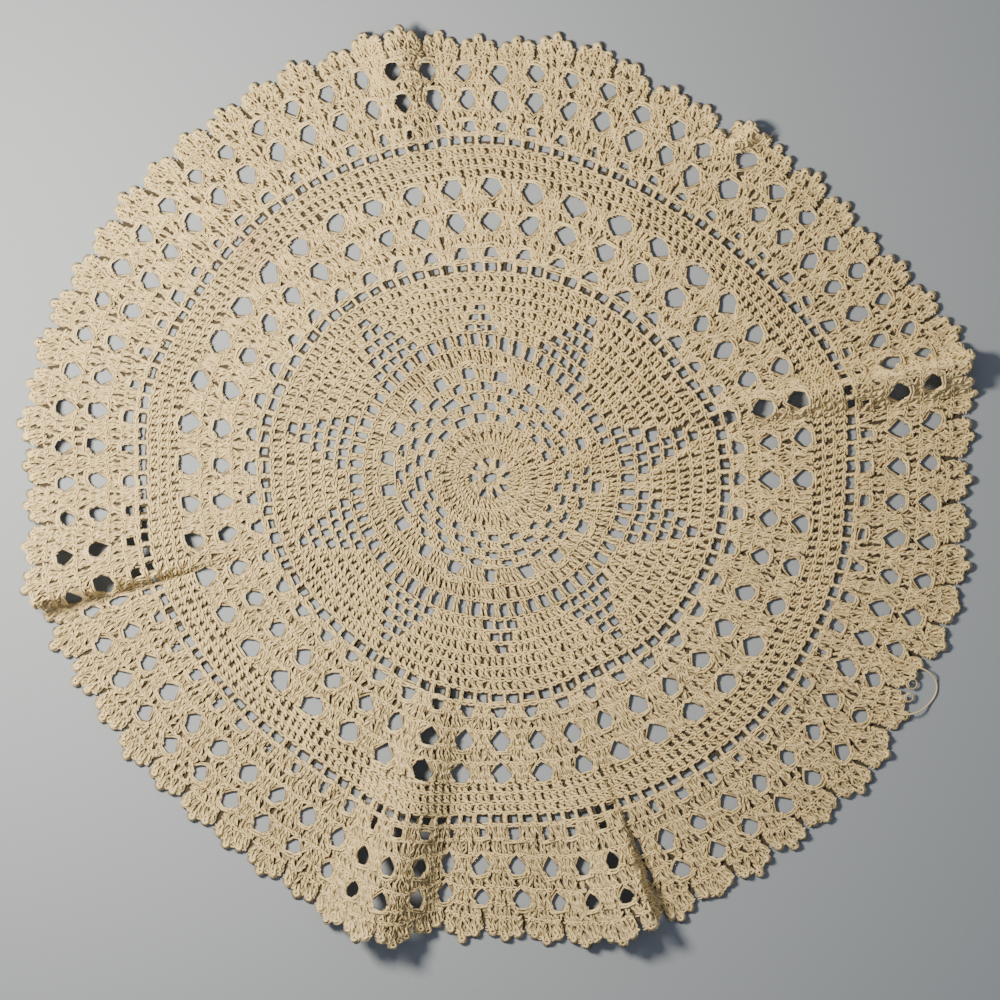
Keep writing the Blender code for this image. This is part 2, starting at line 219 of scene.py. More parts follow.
# The middle: the ring's strands round its long hole, the spokes and the turns of the gaps between
# them, and the plain rounds.
RING_STRANDS = (2.3, 2.8, 3.3, 3.8)
RING_POINTS = 37
RING_WAVE = 0.1
RING_LIFT = 1.0
RING_LIFT_WAVE = 0.3
HOLE_STRETCH = 0.5
HOLE_LIES = 18.0
HOLE_ROUNDING = 0.25
SPOKE_FOOT = 3.0
SPOKE_HEAD = 7.8
SPOKE_SPREAD = 1.1
SPOKE_SPACING = 11.5
SPOKE_UNEVEN = 0.8
SPOKE_GAPS = (7.0, 56.0, 99.0, 142.0, 180.0, 248.0, 291.0, 327.0)
SPOKE_GAP_HALF = 11.0
SPOKE_GAP_MIDDLE = 5.9
SPOKE_GAP_HEIGHT = 3.0
CentreRound = namedtuple("CentreRound", "foot head stitches")
CENTRE_ROUNDS = (CentreRound(7.6, 12.0, 44), CentreRound(11.8, 16.8, 60))
BORDER_ROUND = CentreRound(16.6, 19.6, 76)
CENTRE_SHIFT = 4.0
CENTRE_HOLES = 33
CENTRE_HOLES_AT = 15.9

# Petals: where the stepped mesh between two petals points, and the squares in its first round.
PETAL_ROWS = 6
MESH_POINTS = ((11.7, 5), (57.3, 5), (93.4, 3), (129.0, 5), (166.0, 5), (198.6, 5),
               (236.8, 5), (274.0, 3), (309.0, 5), (345.0, 5))
SQUARE_WIDTH = 3.9
SQUARE_HALF_SHARE = 0.24
SQUARE_HEIGHT_SHARE = 0.5
SQUARE_SHOULDER = 0.8
SQUARE_LOWERED = 0.3
PETAL_STITCH = 2.3
PETAL_SWING = 0.35
PETAL_UNEVEN = 0.15

# Nets and band. The band's rounds give their foot's share of the way out, and their stitches; the
# last is the band's head.
NET_SQUARES = 90
NET_HALF = 2.3
SLOTS = 144
SLOT_HALF = 2.0
NET_STRANDS_APART = 0.35
BAND_ROUNDS = ((0.7, 240), (0.785, 264), (0.869, 288), (0.952, 0))
BAND_SHIFT = 0.4

# How wide the strands of one stitch spread, and how far inside the border of a round its posts end
# and its top loops lie.
Make = namedtuple("Make", "spread posts loops")
MIDDLE_MAKE = Make(1.5, 0.5, 0.4)
SPIRAL_MAKE = Make(2.2, 0.4, 0.35)
PETAL_MAKE = Make(1.9, 0.45, 0.35)
NET_MAKE = Make(1.1, 0.2, 0.1)
BAND_MAKE = Make(2.25, 0.5, 0.4)
INNER_MAKE = Make(2.1, 0.4, 0.3)
OUTER_MAKE = Make(1.9, 0.4, 0.3)

# Where threads part in a shell, as shares of the way across it and up it.
OPEN_PITS = ((0.5, 0.3), (0.27, 0.72), (0.73, 0.72))
EDGE_PITS = ((0.3, 0.3), (0.7, 0.3), (0.5, 0.6))
FILLED_PITS = ((0.24, 0.3), (0.5, 0.36), (0.76, 0.3), (0.0, 0.62))

# Where threads part between stitches that stand side by side: share of the way up, and size.
StitchPit = namedtuple("StitchPit", "up width height")
BAND_PIT = StitchPit(0.6, 0.56, 1.2)
PETAL_PIT = StitchPit(0.6, 0.6, 1.15)
FAN_PIT = StitchPit(0.6, 0.5, 1.2)
MIDDLE_PIT = StitchPit(0.65, 0.12, 0.7)
PIT_SIZES = (-0.3, 1.4)
PIT_STRAY = 0.13

# Shell rounds: shares of the way out, how many row drifts they have moved on, stitches in each
# shell, spread of their feet and of their heads over the shell's part of the round, how far the
# shell's ends lie inside its top, and whether a stitch stands over each gap.
ShellRow = namedtuple("ShellRow", "foot middle head drifts stitches feet heads arch over pits")
INNER_ROWS = (
    ShellRow(0.05, 0.1, 0.146, 0.0, 6, 0.72, 0.9, 0.5, False, OPEN_PITS[:1]),
    ShellRow(0.146, 0.2125, 0.279, 0.0, 7, 1.0, 1.0, 0.6, True, FILLED_PITS),
    ShellRow(0.279, 0.345, 0.411, 0.0, 6, 0.6, 0.92, 0.8, False, OPEN_PITS),
    ShellRow(0.411, 0.4775, 0.544, 0.0, 7, 1.0, 1.0, 0.6, True, FILLED_PITS),
    ShellRow(0.544, 0.61, 0.69, 0.0, 7, 0.6, 0.94, 0.5, False, OPEN_PITS),
)
OUTER_ROWS = (
    ShellRow(0.04, 0.12, 0.2, 0.0, 5, 0.6, 0.92, 0.5, False, OPEN_PITS),
    ShellRow(0.2, 0.279, 0.358, 0.0, 6, 1.0, 1.0, 0.6, True, FILLED_PITS),
    ShellRow(0.358, 0.44, 0.516, 0.0, 6, 0.58, 0.92, 0.8, False, OPEN_PITS),
    ShellRow(0.516, 0.595, 0.674, 0.5, 6, 1.0, 1.0, 0.6, True, FILLED_PITS),
    ShellRow(0.674, 0.755, 0.832, 1.0, 6, 0.58, 0.92, 0.8, False, OPEN_PITS),
    ShellRow(0.832, 0.89, 0.955, 1.5, 7, 1.0, 1.0, 0.5, True, FILLED_PITS),
    ShellRow(0.955, 0.95, 1.12, 2.0, 7, 0.84, 0.9, 2.4, False, EDGE_PITS),
)

# The first of the outer rounds that goes into the edge's own piece.
EDGE_ROW = 4

# One stitch: places up its post, across it in shares of its width, and their lift.
Place = namedtuple("Place", "up across lift")
POST_STRANDS = (
    (Place(-0.1, -0.12, 0.75), Place(0.2, -0.27, 1.1), Place(0.62, -0.24, 1.15), Place(1.02, 0.08, 0.9)),
    (Place(-0.1, 0.16, 0.65), Place(0.48, 0.27, 0.95), Place(1.02, -0.06, 0.75)),
    (Place(0.36, -0.46, 0.8), Place(0.56, 0.0, 1.65), Place(0.86, 0.5, 0.9)),
    (Place(-0.04, -0.42, 0.8), Place(0.15, 0.02, 1.45), Place(0.4, 0.42, 0.8)),
    (Place(0.42, 0.4, 0.6), Place(0.72, 0.5, 1.0), Place(1.02, 0.3, 0.8)),
)
SLANTED = (2, 3)
PIT_REACH = 1.9
SHELL_DIP = 0.9
MIDDLE_DIP = 0.8
FLIPPED = 0.15

# How unevenly a whole stitch is made, and then each place of its strands.
WHOLE_UNEVEN = Place(0.035, 0.09, 0.0)
SLANT_UNEVEN = 0.12
PLACE_UNEVEN = Place(0.03, 0.06, 0.07)

# The V at the head of a stitch, two arms: across, out from the round's edge, and lift.
HEAD_ARMS = (
    ((-0.52, 0.42, 0.95), (0.0, 0.5, 1.35), (0.56, 0.06, 1.0)),
    ((-0.5, -0.42, 0.85), (0.02, -0.5, 1.3), (0.6, -0.04, 1.1)),
)
HEAD_WANDER = 0.16
HEAD_UNEVEN = Place(0.07, 0.06, 0.08)

# The chain over a gap between blocks: its places' lift, how far out it lies and how much that
# differs.
CHAIN_LIFTS = (0.8, 1.2, 1.4, 1.2, 0.8)
CHAIN_OUT = (0.1, 0.12)

# Where the threads run round a gap: how far outside it the nearest places lie, the two threads
# beyond that, and how far off the other threads still bend.
GAP_EDGE = 0.35
EDGE_THREADS = (0.1, 0.85)
GAP_FADE = 1.3

# The thread round a gap's foot: side in half widths, share of the way from waist to foot, how far
# out, and lift.
SQUARE_FOOT = ((-1.0, 1.0, 1.6, 0.8), (-1.0, 1.0, 0.0, 1.0), (0.0, 1.0, -0.1, 1.2),
               (1.0, 1.0, 0.0, 1.0), (1.0, 1.0, 1.6, 0.8))
POINTED_FOOT = ((-1.0, 0.0, 0.7, 0.7), (-0.55, 0.55, 0.0, 0.95), (0.0, 1.0, -0.25, 1.3),
                (0.55, 0.55, 0.0, 0.9), (1.0, 0.0, 0.7, 0.7))
# The chain across its top: how far it bows out in the middle, lies in at the shoulders and
# reaches past them, and its lift.
TOP_BOW = 0.15
TOP_DROP = 0.1
TOP_PAST = 0.3
TOP_LIFTS = (0.9, 1.2, 1.6, 1.2, 0.9)
EDGE_UNEVEN = Place(0.2, 0.07, 0.08)

# The snagged loop: route points with height, the first and last on the cloth.
LOOP_ROUTE = (
    (139.2, -61.2, 2.42),
    (142.8, -63.2, 2.42),
    (146.6, -64.9, 2.42),
    (150.6, -66.4, 2.6),
    (154.2, -68.4, 1.8),
    (156.2, -71.6, 0.5),
    (156.0, -75.4, 0.4),
    (153.6, -79.0, 0.5),
    (150.0, -81.6, 1.8),
    (146.2, -82.6, 2.5),
    (142.4, -82.2, 2.42),
    (138.8, -80.6, 2.42),
)
LOOP_POINTS_EACH = 3

# Slack curls of thread inside the loop: middle in plan, size and where each sets off, in degrees.
Curl = namedtuple("Curl", "x y size start")
SLACK_CURLS = (Curl(147.6, -71.9, 2.0, 150.0), Curl(146.5, -76.6, 1.7, 150.0))
CURL_TURN = 430.0
CURL_POINTS = 17
CURL_SIZES = (1.05, 0.7)
CURL_LIFT = 1.75
CURL_DIP = 0.5


# ---------------------------------------------------------------- how the cloth lies

SLOPE_STEP = 0.2
TURN_STEP = 0.25


def smooth_between(a, b, c, d, part):
    """A place part of the way from b to c, on the smooth curve that a and d lie on too."""
    return b + 0.5 * part * (c - a + part * (2 * a - 5 * b + 4 * c - d + part * (3 * (b - c) + d - a)))


def smooth_rows(values, place, closed):
    """Read a column of a table between its rows, as a smooth curve."""
    place = np.asarray(place, dtype=float)
    row = np.floor(place).astype(int)
    if not closed:
        row = np.clip(row, 0, len(values) - 2)
    mode = "wrap" if closed else "clip"
    rows = (np.take(values, row + shift, mode=mode) for shift in (-1, 0, 1, 2))
    return smooth_between(*rows, place - row)


def ring(column):
    """A column of RINGS, to be read at any turn."""
    values = np.array([getattr(row, column) for row in RINGS])
    return lambda turn: smooth_rows(values, np.asarray(turn, dtype=float) % FULL_TURN / RING_STEP, True)


def soft_bump(distance):
    """One at 0, falling smoothly to nothing at 1."""
    return 0.5 + 0.5 * np.cos(math.pi * np.clip(np.abs(distance), 0.0, 1.0))


def picot_tip(turn):
    """How far out the picots reach."""
    reach = ring("picot_tip")(turn)
    for wave in RIM_WAVES:
        apart = (turn - wave.turn + 180.0) % FULL_TURN - 180.0
        reach = reach + wave.reach * soft_bump(apart / wave.half_width)
    return reach


def polar(radius, turn):
    """Plan place of a radius and a turn."""
    angle = np.radians(turn)
    return np.array([radius * np.cos(angle), radius * np.sin(angle)])


def fold_line(fold):
    """Start, direction and length of a fold's ridge in plan."""
    start = polar(fold.start_radius, fold.start_turn)
    along = polar(fold.rim_radius, fold.rim_turn) - start
    length = np.hypot(*along)
    return start, along / length, length


def cloth_height(x, y):
    """Height of the cloth's underside over the table."""
    height = np.zeros_like(np.asarray(x, dtype=float))
    for fold in FOLDS:
        start, along, length = fold_line(fold)
        run = ((x - start[0]) * along[0] + (y - start[1]) * along[1]) / length
        side = (y - start[1]) * along[0] - (x - start[0]) * along[1]
        run = np.clip(run, 0.0, 1.0)
        widening = FOLD_START_WIDTH + (1.0 - FOLD_START_WIDTH) * run
        width = np.where(side < 0.0, fold.before, fold.after) * widening
        height = height + fold.rise * run * run * (3.0 - 2.0 * run) * soft_bump(side / width)
    return height


def lay(strands):
    """Put places (radius, turn, lift) on the folded cloth, in metres."""
    x, y = polar(strands[..., 0], strands[..., 1])
    step = SLOPE_STEP
    slope_x = (cloth_height(x + step, y) - cloth_height(x - step, y)) / (2 * step)
    slope_y = (cloth_height(x, y + step) - cloth_height(x, y - step)) / (2 * step)
    lift = strands[..., 2] / np.sqrt(1.0 + slope_x ** 2 + slope_y ** 2)
    return MM * np.stack([x - slope_x * lift, y - slope_y * lift, cloth_height(x, y) + lift], axis=-1)


def stitch_turns(reach, swing):
    """Turn of each stitch of a round, evenly spaced along the cloth as it rises and falls.

    The swing is the column of RINGS that gives how far the stitches have moved round from there.
    """
    turns = np.arange(0.0, FULL_TURN + TURN_STEP, TURN_STEP)
    x, y = polar(reach(turns), turns)
    z = cloth_height(x, y)
    steps = np.sqrt(np.diff(x) ** 2 + np.diff(y) ** 2 + np.diff(z) ** 2)
    worked = np.concatenate([[0.0], np.cumsum(steps)])
    worked *= FULL_TURN / worked[-1]
    rows = np.arange(0, FULL_TURN, RING_STEP)
    pull = rows + ring(swing)(rows) - np.interp(rows, worked, turns)
    pull = np.append(pull, pull[0])

    def turn_of(stitch):
        stitch = np.asarray(stitch, dtype=float)
        laps = np.floor(stitch / FULL_TURN)
        place = stitch - laps * FULL_TURN
        moved = np.interp(place, np.append(rows, FULL_TURN), pull)
        return np.interp(place, worked, turns) + moved + laps * FULL_TURN

    return turn_of


def level(radius):
    """A border that keeps one radius."""
    return lambda turn: np.full_like(np.asarray(turn, dtype=float), radius)


def part_way(low, high, share):
    """A border part of the way from one border to another."""
    return lambda turn: low(turn) * (1.0 - share) + high(turn) * share


def inner_reach(share):
    """A border part of the way from the inner net to the outer net."""
    return part_way(ring("inner_net"), ring("outer_net"), share)


def outer_reach(share):
    """A border part of the way from the outer net to the scallops' foot."""
    return part_way(ring("outer_net"), lambda turn: picot_tip(turn) - PICOT_REACH, share)


def spiral_reach(lap):
    """Border at the start of a spiral lap, the first being 0; the last is the head of the mesh."""
    def reach(turn):
        place = ((np.asarray(turn, dtype=float) - SEAM_TURN) % FULL_TURN) / SPIRAL_STEP
        border = SpiralRow(*(smooth_rows(np.array(column), place, False) for column in zip(*SPIRAL)))
        if lap <= BLOCK_LAPS:
            return border.first + (border.foot - border.first) * lap / BLOCK_LAPS
        return border[lap - BLOCK_LAPS + 1]
    return reach


def petal_reach(share):
    """A border part of the way from the spiral's mesh to the inner net."""
    return part_way(spiral_reach(LAPS), lambda turn: ring("inner_net")(turn) - NET_HALF, share)


# ---------------------------------------------------------------- gaps

Gap = namedtuple("Gap", "turn low waist high foot half left right")
MOST_ROOM = 0.85

# Small holes where threads part without a cut in the cloth: width and height, how much bigger or
# smaller one may be, and how far it may lie off its place, in millimetres out and in degrees round.
CENTRE_HOLE = (0.8, 0.9)
SHELL_HOLE = (1.6, 2.2)
HOLE_SIZES = (0.45, 1.2)
HOLE_STRAY = 0.4
HOLE_SHIFT = 0.3

# The nets: their gaps, how much those differ, and their upper corners in shares of the half width.
NET_ROW = GapRow(0.0, 2.9, 2.2, False)
SLOT_ROW = GapRow(0.0, 3.0, 1.7, False)
FOOT_ROW = GapRow(0.135, 3.1, 3.6, False)
NET_STRAY = 0.42
NET_WIDTHS = (-1.6, 0.6)
NET_HEIGHTS = (-1.2, 0.6)
NET_SHOULDER = 0.85
SPOKE_SHOULDER = 0.7

# The nets are drawn in by the seam pleat: how much at most, where, and how far to each side.
PUCKER = 0.22
PUCKER_TURN = 55.0
PUCKER_REACH = 36.0


def make_gap(turn, half_turn, radius, height, pointed, uneven, shoulder=GAP_SHOULDER):
    """One gap between stitches: it comes to a point where two shells meet below, or is square."""
    lean = uneven.uniform(-GAP_LEAN, GAP_LEAN) * half_turn
    size = 1.0 + uneven.uniform(-GAP_UNEVEN, GAP_UNEVEN)
    half = half_turn * size
    low = radius - 0.5 * height * size
    high = radius + 0.5 * height * size
    waist = radius - GAP_WAIST * height if pointed else low
    return Gap(turn, low, waist, high, 0.0 if pointed else half, half,
               shoulder * half - lean, shoulder * half + lean)


def gap_outline(gap):
    """Corners of a gap in plan, anticlockwise."""
    corners = [(-gap.half, gap.waist), (0.0, gap.low), (gap.half, gap.waist)]
    if gap.foot:
        corners = [(-gap.half, gap.low), (gap.half, gap.low)]
    corners += [(gap.right, gap.high), (-gap.left, gap.high)]
    return [polar(radius, gap.turn + turn) for turn, radius in reversed(corners)]


def round_of_gaps(count, start, reach, turn_of, row, uneven, shoulder=GAP_SHOULDER, stray=0.0):
    """All the gaps of one round; stray is how much they differ beyond the usual."""
    gaps = []
    for number in range(count):
        stitch = start + number * FULL_TURN / count
        turn = float(turn_of(stitch))
        radius = float(reach(turn))
        half_stitch = math.degrees(0.5 * row.width / radius)
        half_turn = 0.5 * float(turn_of(stitch + half_stitch) - turn_of(stitch - half_stitch))
        height = row.height
        if stray:
            drawn = 1.0 - PUCKER * float(soft_bump((turn - PUCKER_TURN) / PUCKER_REACH))
            turn += stray * half_turn * uneven.uniform(-1.0, 1.0)
            half_turn *= drawn * (1.0 + stray * uneven.uniform(*NET_WIDTHS))
            height *= drawn * (1.0 + stray * uneven.uniform(*NET_HEIGHTS))
        gaps.append(make_gap(turn, half_turn, radius, height, row.pointed, uneven, shoulder))
    return gaps


def tall_gaps(uneven):
    """The gaps in the fifth spiral round."""
    gaps = []
    for number in range(TALL_GAPS):
        stitch = FIRST_TALL_GAP + number * TALL_GAP_SPACING
        turn = stitch + float(ring("gap_swing")(stitch))
        foot, head = float(ring("gap_foot")(turn)), float(ring("gap_head")(turn))
        middle = 0.5 * (foot + head)
        half_turn = math.degrees(0.5 * TALL_GAP_WIDTH / middle)
        gaps.append(make_gap(turn, half_turn, middle, head - foot, False, uneven))
    return gaps


def block_gaps(lap, uneven):
    """The gaps between the blocks of one of the first spiral rounds, in order from the seam."""
    gaps = []
    foot, head = spiral_reach(lap), spiral_reach(lap + 1)
    spacing = TALL_GAP_SPACING
    turn = FIRST_TALL_GAP + FULL_TURN * BLOCK_LAPS
    turn -= spacing * round(FULL_TURN * BLOCK_LAPS / spacing) + FULL_TURN * lap
    for place in np.arange(turn, SEAM_TURN + FULL_TURN, spacing):
        if place < SEAM_TURN:
            continue
        turn = float(place + ring("gap_swing")(place) * lap / BLOCK_LAPS)
        low, high = float(foot(turn)), float(head(turn))
        middle = 0.5 * (low + high) + uneven.uniform(-BLOCK_GAP_STRAY, BLOCK_GAP_STRAY)
        openness = 1.0 + OPEN_SWELL * math.cos(math.radians(turn - OPEN_SIDE))
        openness += uneven.uniform(-OPEN_UNEVEN, OPEN_UNEVEN)
        half_turn = math.degrees(0.5 * BLOCK_GAP_WIDTH * openness / middle)
        share = BLOCK_GAP_SHARE * (OPEN_BASE + (1.0 - OPEN_BASE) * openness)
        tall = (high - low) * min(BLOCK_GAP_MOST, share)
        if SEAM_CLEAR < turn - SEAM_TURN < FULL_TURN - SEAM_CLEAR:
            gaps.append(make_gap(turn, half_turn, middle, tall, False, uneven,
                                 uneven.uniform(*BLOCK_SHOULDERS)))
    return gaps


def petal_squares(row, uneven):
    """The mesh squares of one petal round, grouped by the point they lie at."""
    low, high = petal_reach(row / PETAL_ROWS), petal_reach((row + 1) / PETAL_ROWS)
    groups = []
    for point, most in MESH_POINTS:
        count = max(0, most - row)
        width = math.degrees(SQUARE_WIDTH / (0.5 * float(low(point) + high(point))))
        squares = []
        for number in range(count):
            turn = point + (number - 0.5 * (count - 1)) * width
            foot, head = float(low(turn)), float(high(turn))
            squares.append(make_gap(turn, SQUARE_HALF_SHARE * width, 0.5 * (foot + head) - SQUARE_LOWERED,
                                    SQUARE_HEIGHT_SHARE * (head - foot), False, uneven, SQUARE_SHOULDER))
        groups.append((point, 0.5 * count * width, squares))
    return groups


def nearest(table, turn):
    """Nearest row of a table whose rows start with their turns, how far off it lies, and the room."""
    turns = np.concatenate([[table[-1, 0] - FULL_TURN], table[:, 0], [table[0, 0] + FULL_TURN]])
    place = turn % FULL_TURN
    after = np.clip(np.searchsorted(turns, place), 1, len(turns) - 1)
    nearer = np.where(place - turns[after - 1] < turns[after] - place, after - 1, after)
    room = 0.5 * (turns[after] - turns[after - 1])
    return table[(nearer - 1) % len(table)], place - turns[nearer], room


def beside_gaps(strands, gaps):
    """Move the places of a round aside, so that its strands pass round its gaps."""
    radius, turn = strands[..., 0], strands[..., 1]
    gap, apart, room = nearest(np.array(sorted((gap.turn % FULL_TURN, *gap[1:]) for gap in gaps)), turn)
    low, waist, high, foot, half, left, right = (gap[..., column] for column in range(1, 8))
    below = np.clip((radius - low) / np.maximum(waist - low, 1e-3), 0.0, 1.0)
    above = np.clip((radius - waist) / np.maximum(high - waist, 1e-3), 0.0, 1.0)
    side = np.where(turn.mean(axis=-1, keepdims=True) - turn + apart < 0.0, -1.0, 1.0)
    shoulder = np.where(side < 0.0, left, right)
    width = np.where(radius < waist, foot + (half - foot) * below, half + (shoulder - half) * above)
    beyond = np.maximum(low - radius, radius - high) - GAP_EDGE
    fade = np.clip(1.0 - beyond / GAP_FADE, 0.0, 1.0)
    width = np.minimum((width + np.degrees(GAP_EDGE / radius)) * fade, MOST_ROOM * room)
    kept = np.where(side * apart < 0.0, apart * (1.0 - fade), apart)
    moved = side * width + kept * (1.0 - width / room)
    strands[..., 1] = turn + moved - apart
    return strands


# ---------------------------------------------------------------- stitches

def posts(foot, head, width, uneven, flipped=0.0):
    """Tall stitches from their feet to their heads, each a (radius, turn) pair of arrays."""
    made = []
    count = len(foot[0])
    lean = uneven.normal(0.0, WHOLE_UNEVEN.across, (count, 1))
    reach = uneven.normal(0.0, WHOLE_UNEVEN.up, (count, 1))
    slant = uneven.normal(0.0, SLANT_UNEVEN, (count, 1))
    flip = np.where(uneven.random((count, 1)) < flipped, -1.0, 1.0)
    for strand in POST_STRANDS:
        up, across, lift = (np.array(column) for column in zip(*strand))
        across = across * flip
        across = across + lean + slant * (up - 0.5) + uneven.normal(0.0, PLACE_UNEVEN.across, across.shape)
        up = up + reach + uneven.normal(0.0, PLACE_UNEVEN.up, (count, len(up)))
        lift = lift + uneven.normal(0.0, PLACE_UNEVEN.lift, (count, len(lift)))
        radius = foot[0][:, None] + (head[0] - foot[0])[:, None] * up
        turn = foot[1][:, None] + (head[1] - foot[1])[:, None] * up
        made.append(np.stack([radius, turn + np.degrees(across * width / radius), lift], axis=-1))
    return made


def heads(radius, turn, pitch, uneven):
    """The V-shaped heads of a row of stitches; radius, turn and pitch are given at each head."""
    made = []
    count = len(radius)
    wander = uneven.normal(0.0, HEAD_WANDER, (count, 1))
    for arm in HEAD_ARMS:
        across, out, lift = (np.array(column) for column in zip(*arm))
        across = across * pitch[:, None] + uneven.normal(0.0, HEAD_UNEVEN.across, (count, len(arm)))
        out = out + wander + uneven.normal(0.0, HEAD_UNEVEN.up, (count, len(arm)))
        lift = lift + uneven.normal(0.0, HEAD_UNEVEN.lift, (count, len(arm)))
        made.append(np.stack([radius[:, None] + out,
                              turn[:, None] + np.degrees(across / radius[:, None]), lift], axis=-1))
    return made


def heads_along(reach, turns, uneven, chained=()):
    """Heads at the middles between turns that follow each other round a border.

    Over each of the chained gaps a single chain thread runs instead.
    """
    turns = np.asarray(turns, dtype=float)
    middle = 0.5 * (turns[1:] + turns[:-1])
    radius = reach(middle)
    pitch = np.radians(np.diff(turns)) * radius
    if not chained:
        return heads(radius, middle, pitch, uneven)
    apart = (middle[:, None] - [gap.turn for gap in chained] + 180.0) % FULL_TURN - 180.0
    kept = np.all(np.abs(apart) > [gap.half for gap in chained], axis=1)
    made = heads(radius[kept], middle[kept], pitch[kept], uneven)
    across = np.array([[gap.half + math.degrees(1.0 / gap.high)] for gap in chained])
    sides = np.linspace(-1.0, 1.0, len(CHAIN_LIFTS))
    turn = np.array([[gap.turn] for gap in chained]) + across * sides
    out = uneven.normal(*CHAIN_OUT, turn.shape)
    lift = np.array(CHAIN_LIFTS) + uneven.normal(0.0, HEAD_UNEVEN.lift, turn.shape)
    return made + [np.stack([reach(turn) + out, turn, lift], axis=-1)]


def plain_round(count, bottom, top, turn_of, make, pit, uneven, start):
    """A round of tall stitches: their strands, and their top loops."""
    stitch = start + (np.arange(count) + 0.5) * FULL_TURN / count
    turn = turn_of(stitch + uneven.normal(0.0, PLACE_UNEVEN.across, count) * FULL_TURN / count)
    tall = posts((bottom(turn), turn), (top(turn) - make.posts, turn), make.spread, uneven)
    tall = part_stitches(tall, pits_between(turn, bottom, top, pit, uneven))
    turns = turn_of(start + np.arange(count + 1) * FULL_TURN / count)
    return tall, heads_along(lambda turn: top(turn) - make.loops, turns, uneven)


def shells(part, row, turn_of, uneven):
    """A round of shells, each a fan of tall stitches with its own top loops."""
    foot_reach, head_reach = part.reach(row.foot), part.reach(row.head)
    pitch = FULL_TURN / part.columns
    middles = row.drifts * ROW_DRIFT + (np.arange(part.columns) + 0.5) * pitch
    share = (np.arange(row.stitches) + (0.0 if row.over else 0.5)) / row.stitches - 0.5
    head_turn = turn_of((middles[:, None] + share * pitch * row.heads).ravel())
    foot_turn = turn_of((middles[:, None] + share * pitch * row.feet).ravel())
    inside = row.arch * (2.0 * np.tile(share, part.columns)) ** 2
    made = posts((foot_reach(foot_turn) - FOOT_ARCH * inside, foot_turn),
                 (head_reach(head_turn) - part.make.posts - inside, head_turn),
                 part.make.spread, uneven, FLIPPED)
    share = np.arange(row.stitches + 1) / row.stitches - 0.5
    ends = turn_of(middles[:, None] + share * pitch * row.heads)
    arc = 0.5 * (ends[:, 1:] + ends[:, :-1])
    share = 0.5 * (share[1:] + share[:-1])
    radius = head_reach(arc) - part.make.loops - row.arch * (2.0 * share) ** 2
    lengths = np.radians(np.diff(ends, axis=1)) * radius
    return made + heads(radius.ravel(), arc.ravel(), lengths.ravel(), uneven)


# ---------------------------------------------------------------- rounds of gaps and threads

# The two parts worked in shells: how many columns, their borders, the column of RINGS that their
# stitches have swung by, and how a stitch is made.
ShellPart = namedtuple("ShellPart", "columns reach swing make")
INNER = ShellPart(INNER_SHELLS, inner_reach, "inner_swing", INNER_MAKE)
OUTER = ShellPart(OUTER_SHELLS, outer_reach, "outer_swing", OUTER_MAKE)
FOOT_ARCH = 0.6


def cloth_gaps():
    """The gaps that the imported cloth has, as lists: the tall ones, then each round of shells."""
    uneven = random.Random(CLOTH_SEED)
    rounds = [tall_gaps(uneven)]
    for part, rows in ((INNER, INNER_GAP_ROWS), (OUTER, OUTER_GAP_ROWS)):
        for number, row in enumerate(rows):
            reach = part.reach(row.share)
            start = number * ROW_DRIFT if part is OUTER else 0.0
            rounds.append(round_of_gaps(part.columns, start, reach, stitch_turns(reach, part.swing),
                                        row, uneven))
    return rounds


def net_gaps():
    """The squares of the inner net, the slots of the outer net and the gaps on its far side."""
    uneven = random.Random(NET_SEED)
    rounds = []
    for part, count, row in ((INNER, NET_SQUARES, NET_ROW), (OUTER, SLOTS, SLOT_ROW),
                             (OUTER, OUTER_SHELLS, FOOT_ROW)):
        reach = part.reach(row.share)
        rounds.append(round_of_gaps(count, 0.0, reach, stitch_turns(reach, part.swing), row, uneven,
                                    NET_SHOULDER, NET_STRAY))
    return rounds


def mesh_gaps():
    """The squares of the spiral's last lap, the blocks' gaps and the spoke gaps."""
    uneven = random.Random(MESH_SEED)
    plain, mesh = spiral_reach(MESH_LAP), spiral_reach(LAPS)
    squares = []
    for number in range(MESH_SQUARES):
        turn = SEAM_TURN + (number + 0.5) * FULL_TURN / MESH_SQUARES
        low, high = float(plain(turn)), float(mesh(turn))
        half_turn = math.degrees(0.5 * MESH_SQUARE_WIDTH / low)
        squares.append(make_gap(turn, half_turn, 0.5 * (low + high) - SQUARE_LOWERED,
                                MESH_SQUARE_SHARE * (high - low), False, uneven, NET_SHOULDER))
    blocks = [block_gaps(lap, uneven) for lap in range(BLOCK_LAPS)]
    spokes = [make_gap(turn, SPOKE_GAP_HALF, SPOKE_GAP_MIDDLE, SPOKE_GAP_HEIGHT, True, uneven,
                       SPOKE_SHOULDER) for turn in SPOKE_GAPS]
    return squares, blocks, spokes


def small_holes(columns, reach, turn_of, start, hole, uneven):
    """A round of small V shapes where threads part without a cut in the cloth."""
    gaps = []
    for number in range(columns):
        stitch = start + number * FULL_TURN / columns + uneven.uniform(-HOLE_SHIFT, HOLE_SHIFT)
        turn = float(turn_of(stitch))
        radius = float(reach(turn)) + uneven.uniform(-HOLE_STRAY, HOLE_STRAY)
        size = uneven.uniform(*HOLE_SIZES)
        width, height = hole
        gaps.append(make_gap(turn, math.degrees(0.5 * size * width / radius), radius, size * height,
                             True, uneven))
    return gaps


